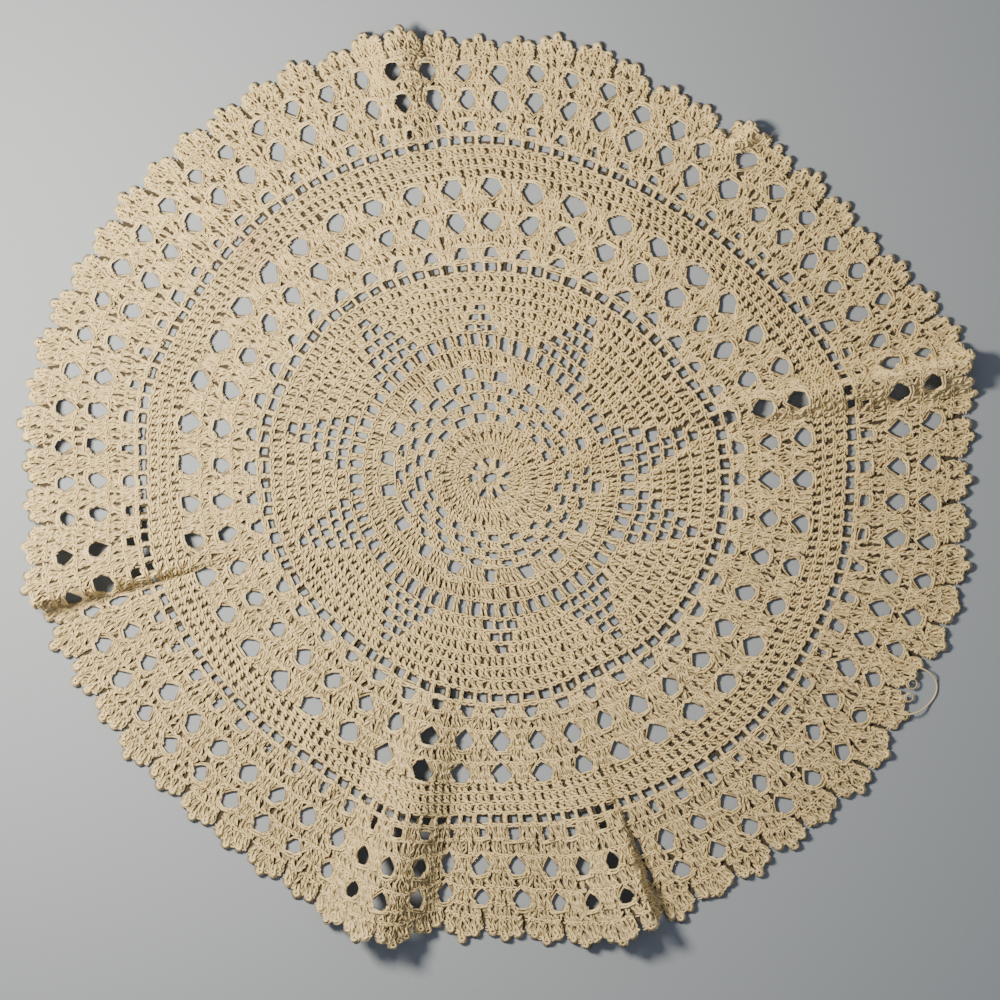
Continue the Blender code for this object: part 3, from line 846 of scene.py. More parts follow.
def pits_between(turns, foot, head, pit, uneven):
    """Small gaps where threads part between stitches that stand side by side."""
    turns = np.sort(turns)
    apart = np.diff(np.append(turns, turns[0] + FULL_TURN))
    middles = (turns + 0.5 * apart)[apart < 1.5 * np.median(apart)]
    gaps = []
    for turn, low, high in zip(middles, foot(middles), head(middles)):
        radius = low + (high - low) * (pit.up + uneven.uniform(-PIT_STRAY, PIT_STRAY))
        size = max(0.0, uneven.uniform(*PIT_SIZES))
        half_turn = math.degrees(0.5 * size * pit.width / radius)
        gaps.append(make_gap(turn, half_turn, radius, size * pit.height, True, uneven))
    return gaps


def sunk(strands, pits, dip):
    """Let strands dip where they cross small gaps."""
    radius, turn = strands[..., 0], strands[..., 1]
    middles = np.array(sorted((gap.turn % FULL_TURN, 0.5 * (gap.low + gap.high)) for gap in pits))
    pit, apart, _ = nearest(middles, turn)
    off = np.hypot(np.radians(apart) * radius, radius - pit[..., 1])
    strands[..., 2] -= dip * soft_bump(off / PIT_REACH)
    return strands


def part_stitches(made, pits, dip=0.0):
    """Part the upright strands of stitches at their pits; those that slant cross over, or dip."""
    return [sunk(strands, pits, dip) if number in SLANTED else beside_gaps(strands, pits)
            for number, strands in enumerate(made)]


def gap_edge(gaps, uneven):
    """Threads round gaps: the foot, where two stitches part, and the chain across the top."""
    feet, tops = [], []
    for beyond in EDGE_THREADS:
        for gap in gaps:
            out = math.degrees((GAP_EDGE + beyond) / gap.low)
            half, left, right = gap.half + out, gap.left + out, gap.right + out
            low, high = gap.low - GAP_EDGE - beyond, gap.high + GAP_EDGE + beyond
            feet.append([(side * half, gap.waist * (1.0 - down) + low * down + outward, lift)
                         for side, down, outward, lift in (SQUARE_FOOT if gap.foot else POINTED_FOOT)])
            past = TOP_PAST * out
            turns = (-half, -left - past, 0.5 * (right - left), right + past, half)
            beside, shoulder = 0.5 * (gap.waist + high), high - TOP_DROP
            radii = (beside, shoulder, high + TOP_BOW, shoulder, beside)
            tops.append(list(zip(turns, radii, TOP_LIFTS)))
    made = []
    middles = np.tile([gap.turn for gap in gaps], len(EDGE_THREADS))[:, None]
    for loops in (feet, tops):
        turn, radius, lift = np.moveaxis(np.array(loops), 2, 0)
        turn = middles + turn * (1.0 + uneven.normal(0.0, EDGE_UNEVEN.across, turn.shape))
        radius = radius + uneven.normal(0.0, EDGE_UNEVEN.up, radius.shape)
        lift = lift + uneven.normal(0.0, EDGE_UNEVEN.lift, lift.shape)
        made.append(np.stack([radius, turn, lift], axis=-1))
    return made


def beside_all(bunches, gaps):
    """Lead bunches of strands round gaps, if there are any."""
    return [beside_gaps(strands, gaps) for strands in bunches] if gaps else bunches


def as_worked(stitch):
    """Turn of a stitch in a round that lies as it was worked."""
    return stitch


def between(edges, spacing):
    """Turns of stitches set evenly between the edges of a round, about a spacing apart."""
    turns = []
    for start, end in zip(edges, [*edges[1:], edges[0] + FULL_TURN]):
        count = max(1, round((end - start) / spacing))
        turns += [start + (number + 0.5) * (end - start) / count for number in range(count)]
    return np.array(turns)


def middle_strands(uneven):
    """The ring, its spokes and the plain rounds round the middle."""
    steps = np.linspace(0.0, FULL_TURN, RING_POINTS)
    made = []
    for number, radius in enumerate(RING_STRANDS):
        stretch = HOLE_STRETCH * (1.0 - HOLE_ROUNDING * number)
        swell = (radius + stretch * np.cos(np.radians(2.0 * (steps - HOLE_LIES)))
                 + RING_WAVE * np.cos(np.radians(5 * steps + 50 * number)))
        lift = RING_LIFT + RING_LIFT_WAVE * np.cos(np.radians(7 * steps + 90 * number))
        made.append(np.stack([swell, steps, lift], axis=-1)[None])
    turns = between(SPOKE_GAPS, SPOKE_SPACING)
    turns = turns + uneven.normal(0.0, SPOKE_UNEVEN, len(turns))
    foot, head = level(SPOKE_FOOT), level(SPOKE_HEAD)
    made += beside_all(posts((foot(turns), turns), (head(turns), turns), SPOKE_SPREAD, uneven),
                       mesh_gaps()[2])
    holes = small_holes(CENTRE_HOLES, level(CENTRE_HOLES_AT), as_worked, 0.0, CENTRE_HOLE,
                        random.Random(HOLE_SEED))
    for number, row in enumerate((*CENTRE_ROUNDS, BORDER_ROUND)):
        top = spiral_reach(0) if row is BORDER_ROUND else level(row.head)
        tall, tops = plain_round(row.stitches, level(row.foot), top, as_worked, MIDDLE_MAKE,
                                 MIDDLE_PIT, uneven, CENTRE_SHIFT * number)
        made += part_stitches(tall, holes, MIDDLE_DIP) + beside_all(tops, holes)
    return made


def spiral_strands(uneven):
    """Blocks, fans, the plain round and the mesh that spiral out round the middle."""
    made = []
    squares, blocks, _ = mesh_gaps()
    gaps_of = (*blocks, cloth_gaps()[0], [], squares)
    spacing_of = (*[TALL_GAP_SPACING / BLOCK_STITCHES] * BLOCK_LAPS, TALL_GAP_SPACING / FAN_STITCHES,
                  FULL_TURN / PLAIN_STITCHES, 0.5 * FULL_TURN / MESH_SQUARES)
    for lap, (gaps, spacing) in enumerate(zip(gaps_of, spacing_of)):
        foot, head = spiral_reach(lap), spiral_reach(lap + 1)
        turns = between(sorted(gap.turn for gap in gaps) or [SEAM_TURN], spacing)
        turns = turns + uneven.normal(0.0, SPIRAL_UNEVEN, len(turns))
        width = math.radians(FULL_TURN / len(turns)) * 0.5 * float(foot(90.0) + head(90.0))
        turns = SEAM_TURN + (turns - SEAM_TURN) % FULL_TURN
        tall = posts((foot(turns), turns), (head(turns) - SPIRAL_MAKE.posts, turns),
                     min(width, SPIRAL_MAKE.spread), uneven)
        tall = part_stitches(tall, pits_between(turns, foot, head, FAN_PIT, uneven))
        loops = round(len(turns) * (BLOCK_LOOPS if lap < BLOCK_LAPS else 1.0))
        ends = SEAM_TURN + FULL_TURN * np.linspace(*SEAM_ENDS, loops + 1)
        made += beside_all(tall, gaps) + heads_along(lambda turn: head(turn) - SPIRAL_MAKE.loops, ends,
                                                     uneven, gaps if lap < BLOCK_LAPS else ())
        if lap == FAN_LAP:
            made += gap_edge(gaps, uneven)
    return made


def petal_strands(uneven):
    """Petals of tall stitches, with the stepped mesh between them."""
    made = []
    sketch = random.Random(PETAL_SEED)
    for row in range(PETAL_ROWS):
        low, high = petal_reach(row / PETAL_ROWS), petal_reach((row + 1) / PETAL_ROWS)
        groups = petal_squares(row, sketch)
        turns = []
        for number, (point, extent, squares) in enumerate(groups):
            after, after_extent, _ = groups[(number + 1) % len(groups)]
            after += FULL_TURN if number == len(groups) - 1 else 0.0
            start, end = point + extent, after - after_extent
            middle = 0.5 * (start + end)
            room = math.radians(end - start) * 0.5 * float(low(middle) + high(middle))
            count = max(2, round(room / PETAL_STITCH))
            turns += list(start + (np.arange(count) + 0.5) * (end - start) / count)
            turns += [0.5 * (a.turn + b.turn) for a, b in zip(squares, squares[1:])]
            if squares:
                turns += [point - extent, point + extent]
        turns = np.array(turns) + uneven.normal(0.0, PETAL_UNEVEN, len(turns))
        swing = PETAL_SWING * uneven.normal(0.0, 1.0, len(turns))
        tall = posts((low(turns), turns - swing), (high(turns) - PETAL_MAKE.posts, turns + swing),
                     PETAL_MAKE.spread, uneven)
        tall = part_stitches(tall, pits_between(turns, low, high, PETAL_PIT, uneven))
        loops = round(2.0 * math.pi * float(high(90.0)) / PETAL_STITCH)
        ends = SEAM_TURN + FULL_TURN * np.linspace(*SEAM_ENDS, loops + 1)
        made += beside_all(tall, [square for _, _, squares in groups for square in squares])
        made += heads_along(lambda turn: high(turn) - PETAL_MAKE.loops, ends, uneven)
    return made


def net_strands(part, gaps, half, uneven):
    """Single tall stitches between the squares of a net, with the chain that closes it."""
    reach = part.reach(0.0)
    turn_of = stitch_turns(reach, part.swing)
    turn = turn_of((np.arange(len(gaps)) + 0.5) * FULL_TURN / len(gaps))
    made = []
    for beside in (-NET_STRANDS_APART, NET_STRANDS_APART):
        turns = turn + np.degrees(beside / reach(turn))
        made += posts((reach(turn) - half, turns), (reach(turn) + half - NET_MAKE.posts, turns),
                      NET_MAKE.spread, uneven)
    turns = turn_of(np.arange(2 * len(gaps) + 1) * 0.5 * FULL_TURN / len(gaps))
    return beside_all(made, gaps) + heads_along(lambda turn: reach(turn) + half - NET_MAKE.loops,
                                                turns, uneven)


def shell_rounds(part, rows, cut, uneven, holes):
    """Rounds of shells; cut gives the gaps of some of them, and every thread passes round those.

    The stitches are drawn from uneven, and the small holes between them from holes.
    """
    made = []
    for number, row in enumerate(rows):
        turn_of = stitch_turns(part.reach(row.middle), part.swing)
        strands = shells(part, row, turn_of, uneven)
        for across, up in row.pits:
            pits = small_holes(part.columns, part.reach(row.foot + up * (row.head - row.foot)), turn_of,
                               row.drifts * ROW_DRIFT + across * FULL_TURN / part.columns,
                               SHELL_HOLE, holes)
            strands = part_stitches(strands, pits, SHELL_DIP)
        for gaps in cut.values():
            strands = beside_all(strands, gaps)
        made += strands
        if number in cut:
            made += gap_edge(cut[number], uneven)
    return made


# ---------------------------------------------------------------- picots, curls and ground

# Picots on each scallop: share of the scallop and how far its middle lies inside the rim.
PICOTS = ((0.21, 2.85), (0.5, 0.95), (0.79, 2.85))

# Each picot's rings of thread, not quite closed: radius and lift, and how they tilt and differ.
PICOT_RINGS = ((1.4, 0.95), (0.8, 1.55))
PICOT_OPEN = 0.9
PICOT_POINTS = 9
PICOT_TILT = 0.3
TILT_UNEVEN = 0.8
TURN_UNEVEN = 0.15
SIZE_UNEVEN = 0.06

# Its ties: side they start and end at and their lift, and how far out their places lie.
PICOT_TIES = ((-1.7, -0.9, 1.3), (1.6, 0.8, 1.1), (-0.5, 0.9, 1.5), (0.7, -0.9, 1.0))
TIE_PLACES = (-3.4, -1.9, -0.7, 0.7)
TIE_UNEVEN = Place(0.15, 0.1, 0.06)

# The ground is a dark sheet of painted shade under the threads: it shows as the shade down between the
# stitches.
# The ground: corners of its edge along each scallop, kept under the threads, how far it is drawn
# back from gaps, its net of points, finer on the folds, and where that stops inside the rim.
GROUND_EDGE = ((0.0, 5.8), (0.15, 3.4), (0.35, 3.7), (0.5, 2.2), (0.65, 3.7), (0.85, 3.4))
GROUND_HOLE = 1.8
GROUND_HOLE_STRETCH = 0.4
HOLE_STEP = 30
GROUND_INSET = 0.45
GROUND_REACH = 172.0
GROUND_CLEAR = 8.5
GROUND_STEP = 3.2
GROUND_FINE = 1.3
ROW_SHARE = 0.866
FOLD_BEND = 0.035
BEND_STEP = 1.0
GROUND_THICK = 0.4

# How high the ground's middle lies over the cloth's underside, and the lift that its colour takes, low so
# that the sheet is painted in the deep shade colour.
MIDDLE_LIFT = 0.5
GROUND_LIFT = 0.3


def rim_places(table):
    """Radius and turn of places along every scallop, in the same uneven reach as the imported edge."""
    turn_of = stitch_turns(outer_reach(OUTER_ROWS[-1].middle), OUTER.swing)
    uneven = random.Random(RIM_SEED)
    places = []
    for number in range(OUTER_SHELLS):
        stretch = uneven.uniform(-SCALLOP_UNEVEN, SCALLOP_UNEVEN)
        for share, inside in table:
            turn = float(turn_of((number + share) * FULL_TURN / OUTER_SHELLS + 2 * ROW_DRIFT))
            places.append((float(picot_tip(turn)) - inside + stretch, turn))
    return np.array(places)


def picot_strands(uneven):
    """Rings of thick thread, and the finer threads that bind each to its scallop."""
    places = rim_places(PICOTS)
    radius, turn = places[:, :1], places[:, 1:]
    each, tied = (len(places), 1), (len(places), len(TIE_PLACES))
    rings, ties = [], []
    for ring_radius, raised in PICOT_RINGS:
        around = np.linspace(-PICOT_OPEN * math.pi, PICOT_OPEN * math.pi, PICOT_POINTS)
        around = around + uneven.normal(0.0, TURN_UNEVEN, each)
        size = ring_radius * (1.0 + uneven.normal(0.0, SIZE_UNEVEN, around.shape))
        lift = raised + PICOT_TILT * np.sin(around + uneven.normal(0.0, TILT_UNEVEN, each))
        rings.append(np.stack([radius + size * np.cos(around),
                               turn + np.degrees(size * np.sin(around) / radius), lift], axis=-1))
    for start, end, height in PICOT_TIES:
        up = np.array(TIE_PLACES) + uneven.normal(0.0, TIE_UNEVEN.up, tied)
        across = np.linspace(start, end, len(TIE_PLACES)) + uneven.normal(0.0, TIE_UNEVEN.across, tied)
        lift = np.array([0.8, height, height + 0.1, 1.0]) + uneven.normal(0.0, TIE_UNEVEN.lift, tied)
        ties.append(np.stack([radius + up, turn + np.degrees(across / radius), lift], axis=-1))
    return rings, ties


def slack_curls():
    """Curls of slack thread by the edge, lifted where they lie on it."""
    curls = []
    for curl in SLACK_CURLS:
        around = np.radians(curl.start + np.linspace(0.0, CURL_TURN, CURL_POINTS))
        size = curl.size * np.linspace(*CURL_SIZES, CURL_POINTS)
        x, y = curl.x + size * np.cos(around), curl.y + size * np.sin(around)
        lift = CURL_LIFT - CURL_DIP * np.cos(around - math.atan2(curl.y, curl.x))
        curls.append(np.stack([np.hypot(x, y), np.degrees(np.arctan2(y, x)), lift], axis=-1))
    return np.array(curls)


def wider(gap):
    """A gap with the ground drawn back under the threads round it."""
    aside = math.degrees(GROUND_INSET / gap.low)
    return gap._replace(low=gap.low - GROUND_INSET, high=gap.high + GROUND_INSET,
                        foot=gap.foot + aside if gap.foot else 0.0, half=gap.half + aside,
                        left=gap.left + aside, right=gap.right + aside)


def every_gap():
    """All the gaps in the ground."""
    squares, blocks, spokes = mesh_gaps()
    sketch = random.Random(PETAL_SEED)
    petals = [group for row in range(PETAL_ROWS) for _, _, group in petal_squares(row, sketch)]
    lists = cloth_gaps() + net_gaps() + blocks + petals + [squares, spokes]
    return [gap for gaps in lists for gap in gaps]


def flat_ground():
    """Plan places and faces of the ground: its outline less its gaps. Also its whole area."""
    edge = [polar(radius, turn) for radius, turn in rim_places(GROUND_EDGE)]
    hole = [polar(GROUND_HOLE + GROUND_HOLE_STRETCH * math.cos(math.radians(2.0 * (turn - HOLE_LIES))),
                  turn) for turn in range(0, 360, HOLE_STEP)]
    loops = [edge, hole] + [gap_outline(wider(gap)) for gap in every_gap()]
    corners, faces = [], []
    for loop in loops:
        faces.append(list(range(len(corners), len(corners) + len(loop))))
        corners += [Vector(corner) for corner in loop]
    for spacing, bend in ((GROUND_STEP, -1.0), (GROUND_FINE, FOLD_BEND)):
        x, y = np.meshgrid(np.arange(-GROUND_REACH, GROUND_REACH, spacing),
                           np.arange(-GROUND_REACH, GROUND_REACH, ROW_SHARE * spacing))
        x[::2] += 0.5 * spacing
        bent = np.abs(cloth_height(x + BEND_STEP, y) + cloth_height(x - BEND_STEP, y)
                      + cloth_height(x, y + BEND_STEP) + cloth_height(x, y - BEND_STEP)
                      - 4.0 * cloth_height(x, y))
        inside = np.hypot(x, y) < picot_tip(np.degrees(np.arctan2(y, x))) - GROUND_CLEAR
        corners += [Vector(place) for place in np.stack([x, y], axis=-1)[inside & (bent > bend)]]
    points, _, triangles, _, _, owners = delaunay_2d_cdt(corners, [], faces, 0, 1e-4)
    kept = [face for face, owner in zip(triangles, owners) if owner == [0]]
    x, y = np.array(edge).T
    area = 0.5 * abs(float(np.sum(x * np.roll(y, -1) - y * np.roll(x, -1))))
    return points, kept, area


# ---------------------------------------------------------------- objects

# A thread's section: its corners reach past the thread's radius, so that it looks as thick, and it
# swells and thins along its way.
THREAD_SIDES = 3
SECTION_REACH = 1.2
THREAD_SWELL = 0.08

# Where the cloth is steeper than this, threads count as lifted, so that the painted shade leaves its
# slopes pale.
STEEP_FROM = 0.4
STEEP_LIFT = 3.2
STEEP_STEP = 0.3

# Threads keep this share of their radius, and their surface this height, over the table.
PRESSED = 0.75
TABLE_CLEAR = 0.02


def stand(name, data):
    """Put a new object of some data in the scene."""
    thing = bpy.data.objects.new(name, data)
    bpy.context.collection.objects.link(thing)
    return thing


def mesh_from(shape, name):
    """A mesh of a finished shape."""
    mesh = bpy.data.meshes.new(name)
    shape.to_mesh(mesh)
    shape.free()
    return mesh


def thread_section(radius):
    """The three-sided section that each thread has."""
    section = bpy.data.curves.new("thread section", "CURVE")
    spline = section.splines.new("POLY")
    spline.points.add(THREAD_SIDES - 1)
    for number, point in enumerate(spline.points):
        x, y = SECTION_REACH * radius * polar(1.0, FULL_TURN * number / THREAD_SIDES)
        point.co = (x, y, 0.0, 1.0)
    spline.use_cyclic_u = True
    return bpy.data.objects.new("thread section", section)


def slope_at(x, y):
    """How steeply the cloth lies."""
    height = cloth_height(x, y)
    return np.hypot(cloth_height(x + STEEP_STEP, y) - height,
                    cloth_height(x, y + STEEP_STEP) - height) / STEEP_STEP


def steep_lift(x, y):
    """What the lift is taken as where the cloth lies steeply, so that no painted shade falls there."""
    return STEEP_LIFT * np.clip(slope_at(x, y) - STEEP_FROM, 0.0, 1.0)


def drawn_threads(strands, thickness, uneven):
    """A mesh of threads of one thickness, drawn along their strands."""
    radius = 0.5 * thickness
    section = thread_section(radius)
    curve = bpy.data.curves.new("threads", "CURVE")
    curve.dimensions = "3D"
    curve.bevel_mode = "OBJECT"
    curve.bevel_object = section
    curve.use_fill_caps = True
    for array in strands:
        placed = lay(array)
        placed[..., 2] = np.maximum(placed[..., 2], PRESSED * radius)
        count, length = placed.shape[:2]
        flat = np.concatenate([placed, np.ones((count, length, 1))], axis=-1)
        swell = 1.0 + uneven.normal(0.0, THREAD_SWELL, (count, length))
        for row, width in zip(flat, swell):
            spline = curve.splines.new("POLY")
            spline.points.add(length - 1)
            spline.points.foreach_set("co", row.ravel())
            spline.points.foreach_set("radius", width)
    drawn = stand("threads", curve)
    worked = drawn.evaluated_get(bpy.context.evaluated_depsgraph_get())
    mesh = bpy.data.meshes.new_from_object(worked)
    bpy.data.objects.remove(drawn)
    bpy.data.curves.remove(curve)
    bpy.data.curves.remove(section.data)
    return mesh


def paint_shade_by_lift(mesh, lifts):
    """Give each point its lift off the cloth, which sets the painted shade in the cotton's colour: the
    lower, the darker.
    """
    mesh.attributes.new("lift", "FLOAT", "POINT").data.foreach_set("value", lifts)


def finish_piece(name, data, material):
    """Link a piece of the doily, give it its material and let it ride on the doily's body."""
    data.materials.clear()
    data.materials.append(material)
    piece = stand(name, data)
    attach(piece, "root")
    return piece


def doily_piece(name, data, material):
    """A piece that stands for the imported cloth."""
    piece = finish_piece(name, data, material)
    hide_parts("doily")
    return piece


def cotton_piece(name, bunches, seed):
    """One piece of many threads. Bunches are pairs of strand arrays and thread thickness."""
    uneven = np.random.default_rng(SWELL_SEED + seed)
    joined = bmesh.new()
    for strands, thickness in bunches:
        mesh = drawn_threads(strands, thickness, uneven)
        joined.from_mesh(mesh)
        bpy.data.meshes.remove(mesh)
    mesh = mesh_from(joined, name)
    places = np.empty(3 * len(mesh.vertices))
    mesh.vertices.foreach_get("co", places)
    places[2::3] = np.maximum(places[2::3], TABLE_CLEAR * MM)
    mesh.vertices.foreach_set("co", places)
    x, y, z = places.reshape(-1, 3).T / MM
    # The lift attribute paints shade: low places on the threads are painted darker, and steep slopes are
    # kept pale.
    lifts = (z - cloth_height(x, y)) / np.hypot(1.0, slope_at(x, y))
    paint_shade_by_lift(mesh, np.maximum(lifts, steep_lift(x, y)))
    mesh.shade_smooth()
    doily_piece(name, mesh, cotton(WORKED, bpy.context.scene.doily_cotton))


# ---------------------------------------------------------------- materials

# How the three finishes take their colour: lifts between which threads pass from the painted deep shade to
# the pale lit thread, and how mottled that painted shade is.
Finish = namedtuple("Finish", "name low high mottling")
WORKED = Finish("worked cotton", 0.45, 1.9, 0.8)
SHADE_SHEET = Finish("painted shade sheet", 0.45, 1.7, 0.4)
PULLED = Finish("pulled cotton", -1.0, 0.0, 0.0)

# Textures of the cotton: scale and detail of its patches, broad shades, fibres and the mottling of its
# painted shade.
PATCHES = (280.0, 2.0)
BROAD = (38.0, 2.0)
FIBRES = (2300.0, 3.0)
MOTTLES = (900.0, 1.0)

# Ranges that the textures are read over, some with what they turn into.
UNDERSIDES = (0.0, -0.6, 0.0, 1.2)
TINTED = (0.42, 0.7)
BROAD_SHADES = (0.35, 0.65, 0.93, 1.05)
# These two ramp the painted shade: from the deep colour to the shaded thread, and on to the lit thread.
DEEP_TO_SHADE = (0.0, 0.4)
SHADE_TO_THREAD = (0.3, 1.0)
FLECKS = (0.3, 0.7, 0.68, 1.14)
ROUGHNESS = (0.3, 0.7, 0.78, 0.95)

# Painted shade: threads' sides are painted darker than their tops, where the light falls, but not where
# the cloth is steep.
SIDE_SLOPES = (0.2, 0.9)
SIDE_SHADE = 0.68
STEEP_LIFTS = (2.2, 3.0)

# The stain's place and reach, in metres, then the sheen, the bump and the table's finish.
STAIN_PLACE = (-0.0819, 0.0815, 0.001)
STAIN_RADIUS = 0.012
STAIN_STRENGTH = 0.45
SHEEN = 0.15
SHEEN_ROUGHNESS = 0.6
BUMP_STRENGTH = 0.35
BUMP_HEIGHT = 0.12
TABLE_GRAIN = (900.0, 2.0)
TABLE_ROUGHNESS = 0.75
TABLE_DARK = 0.93

# What the cotton's group of nodes takes and gives.
COTTON_COLOURS = ("Thread", "Shade", "Deep", "Tint", "Stain")
COTTON_TAKES = {name: "Color" for name in COTTON_COLOURS}
COTTON_TAKES.update({"Depth Low": "Float", "Depth High": "Float", "Mottling": "Float"})
COTTON_GIVES = {"Color": "Color", "Roughness": "Float", "Height": "Float"}


def fill(tree, socket, value):
    """Give a socket a value, or join another socket to it."""
    if isinstance(value, bpy.types.NodeSocket):
        tree.links.new(value, socket)
    else:
        socket.default_value = value


def node(tree, kind, *values, **settings):
    """Add a node with its settings, and fill its sockets from the first on, None being left alone."""
    made = tree.nodes.new(kind)
    for key, value in settings.items():
        setattr(made, key, value)
    for socket, value in zip(made.inputs, values):
        if value is not None:
            fill(tree, socket, value)
    return made


def noise(tree, place, scale, detail):
    """Soft noise over the object's own places."""
    return node(tree, "ShaderNodeTexNoise", place, None, scale, detail).outputs[0]


def maths(tree, operation, *values):
    """Work out one value from others."""
    return node(tree, "ShaderNodeMath", *values, operation=operation).outputs[0]


def ranged(tree, value, start, end, low=0.0, high=1.0, kind="LINEAR"):
    """Turn a value into low at the start of a range and high at its end."""
    return node(tree, "ShaderNodeMapRange", value, start, end, low, high,
                interpolation_type=kind).outputs[0]


def colour_mix(tree, factor, first, second, blend="MIX"):
    """Mix two colours; each may be a socket or a colour."""
    mix = node(tree, "ShaderNodeMix", factor, data_type="RGBA", blend_type=blend)
    fill(tree, mix.inputs[6], first)
    fill(tree, mix.inputs[7], second)
    return mix.outputs[2]


def new_surface(name):
    """A new material, its tree and its shader."""
    material = bpy.data.materials.new(name)
    material.use_nodes = True
    return material, material.node_tree, material.node_tree.nodes["Principled BSDF"]


def spun_cotton_group():
    """Old spun cotton with painted shade: pale on top, painted brown to dark down between the threads and
    darker on their sides, uneven in tint, with fibres.
    """
    group = bpy.data.node_groups.get("Spun Cotton")
    if group:
        return group
    group = bpy.data.node_groups.new("Spun Cotton", "ShaderNodeTree")
    for side, sockets in (("INPUT", COTTON_TAKES), ("OUTPUT", COTTON_GIVES)):
        for name, kind in sockets.items():
            group.interface.new_socket(name, in_out=side, socket_type="NodeSocket" + kind)
    inputs = node(group, "NodeGroupInput").outputs
    outputs = node(group, "NodeGroupOutput").inputs
    place = node(group, "ShaderNodeTexCoord").outputs["Object"]
    patches, broad, fibres, mottles = (noise(group, place, *texture)
                                       for texture in (PATCHES, BROAD, FIBRES, MOTTLES))

    # How far up the thread a place lies, which sets its painted shade: 1 on top, 0 down between the
    # threads. Faces turned down count as lifted, and the mottling scatters painted dark spots.
    normal = node(group, "ShaderNodeNewGeometry").outputs["Normal"]
    facing = node(group, "ShaderNodeSeparateXYZ", normal).outputs["Z"]
    lift = node(group, "ShaderNodeAttribute", attribute_name="lift").outputs["Fac"]
    depth = maths(group, "ADD", ranged(group, facing, *UNDERSIDES), lift)
    mottled = maths(group, "MULTIPLY_ADD", maths(group, "SUBTRACT", mottles, 0.5), inputs["Mottling"],
                    depth)
    raised = ranged(group, mottled, inputs["Depth Low"], inputs["Depth High"], kind="SMOOTHSTEP")

    # The threads' own colour, with yellowed patches and the stain.
    threads = colour_mix(group, ranged(group, patches, *TINTED), inputs["Thread"], inputs["Tint"])
    threads = colour_mix(group, 1.0, threads, ranged(group, broad, *BROAD_SHADES), "MULTIPLY")
    apart = node(group, "ShaderNodeVectorMath", place, STAIN_PLACE, operation="DISTANCE")
    fading = ranged(group, apart.outputs["Value"], STAIN_RADIUS, 0.2 * STAIN_RADIUS, 0.0,
                    STAIN_STRENGTH, "SMOOTHSTEP")
    threads = colour_mix(group, fading, threads, inputs["Stain"])

    # Painted shade by depth, from the deep colour through the shaded thread to the lit thread, flecked by
    # fibres, and painted shade on the threads' sides, as light falls on their tops.
    shaded = colour_mix(group, ranged(group, raised, *DEEP_TO_SHADE), inputs["Deep"], inputs["Shade"])
    shaded = colour_mix(group, ranged(group, raised, *SHADE_TO_THREAD), shaded, threads)
    flecked = colour_mix(group, 1.0, shaded, ranged(group, fibres, *FLECKS), "MULTIPLY")
    open_side = maths(group, "MAXIMUM", ranged(group, lift, *STEEP_LIFTS), facing)
    sides = ranged(group, open_side, *SIDE_SLOPES, SIDE_SHADE)
    fill(group, outputs["Color"], colour_mix(group, 1.0, flecked, sides, "MULTIPLY"))
    fill(group, outputs["Roughness"], ranged(group, fibres, *ROUGHNESS))
    fill(group, outputs["Height"], fibres)
    return group


def cotton(finish, settings):
    """The material of a cotton finish."""
    material = bpy.data.materials.get(finish.name)
    if material:
        return material
    material, tree, shader = new_surface(finish.name)
    shader.inputs["Sheen Weight"].default_value = SHEEN
    shader.inputs["Sheen Roughness"].default_value = SHEEN_ROUGHNESS
    spun = node(tree, "ShaderNodeGroup", node_tree=spun_cotton_group())
    for socket in COTTON_COLOURS:
        spun.inputs[socket].default_value = (*getattr(settings, socket.lower()), 1.0)
    spun.inputs["Depth Low"].default_value = finish.low
    spun.inputs["Depth High"].default_value = finish.high
    spun.inputs["Mottling"].default_value = finish.mottling
    bump = node(tree, "ShaderNodeBump", BUMP_STRENGTH, BUMP_HEIGHT * MM)
    fill(tree, bump.inputs["Height"], spun.outputs["Height"])
    fill(tree, shader.inputs["Base Color"], spun.outputs["Color"])
    fill(tree, shader.inputs["Roughness"], spun.outputs["Roughness"])
    fill(tree, shader.inputs["Normal"], bump.outputs[0])
    return material


def table_top(settings):
    """The plain pale table."""
    material, tree, shader = new_surface("pale table")
    shader.inputs["Roughness"].default_value = TABLE_ROUGHNESS
    place = node(tree, "ShaderNodeTexCoord").outputs["Object"]
    dark = tuple(TABLE_DARK * value for value in settings.floor)
    mixed = colour_mix(tree, noise(tree, place, *TABLE_GRAIN), (*dark, 1.0), (*settings.floor, 1.0))
    fill(tree, shader.inputs["Base Color"], mixed)
    return material


# ---------------------------------------------------------------- settings

def colour_property(name, description, default):
    """A colour that the sidebar shows."""
    return FloatVectorProperty(name=name, description=description, default=default, size=3,
                               subtype="COLOR", min=0.0, max=1.0)


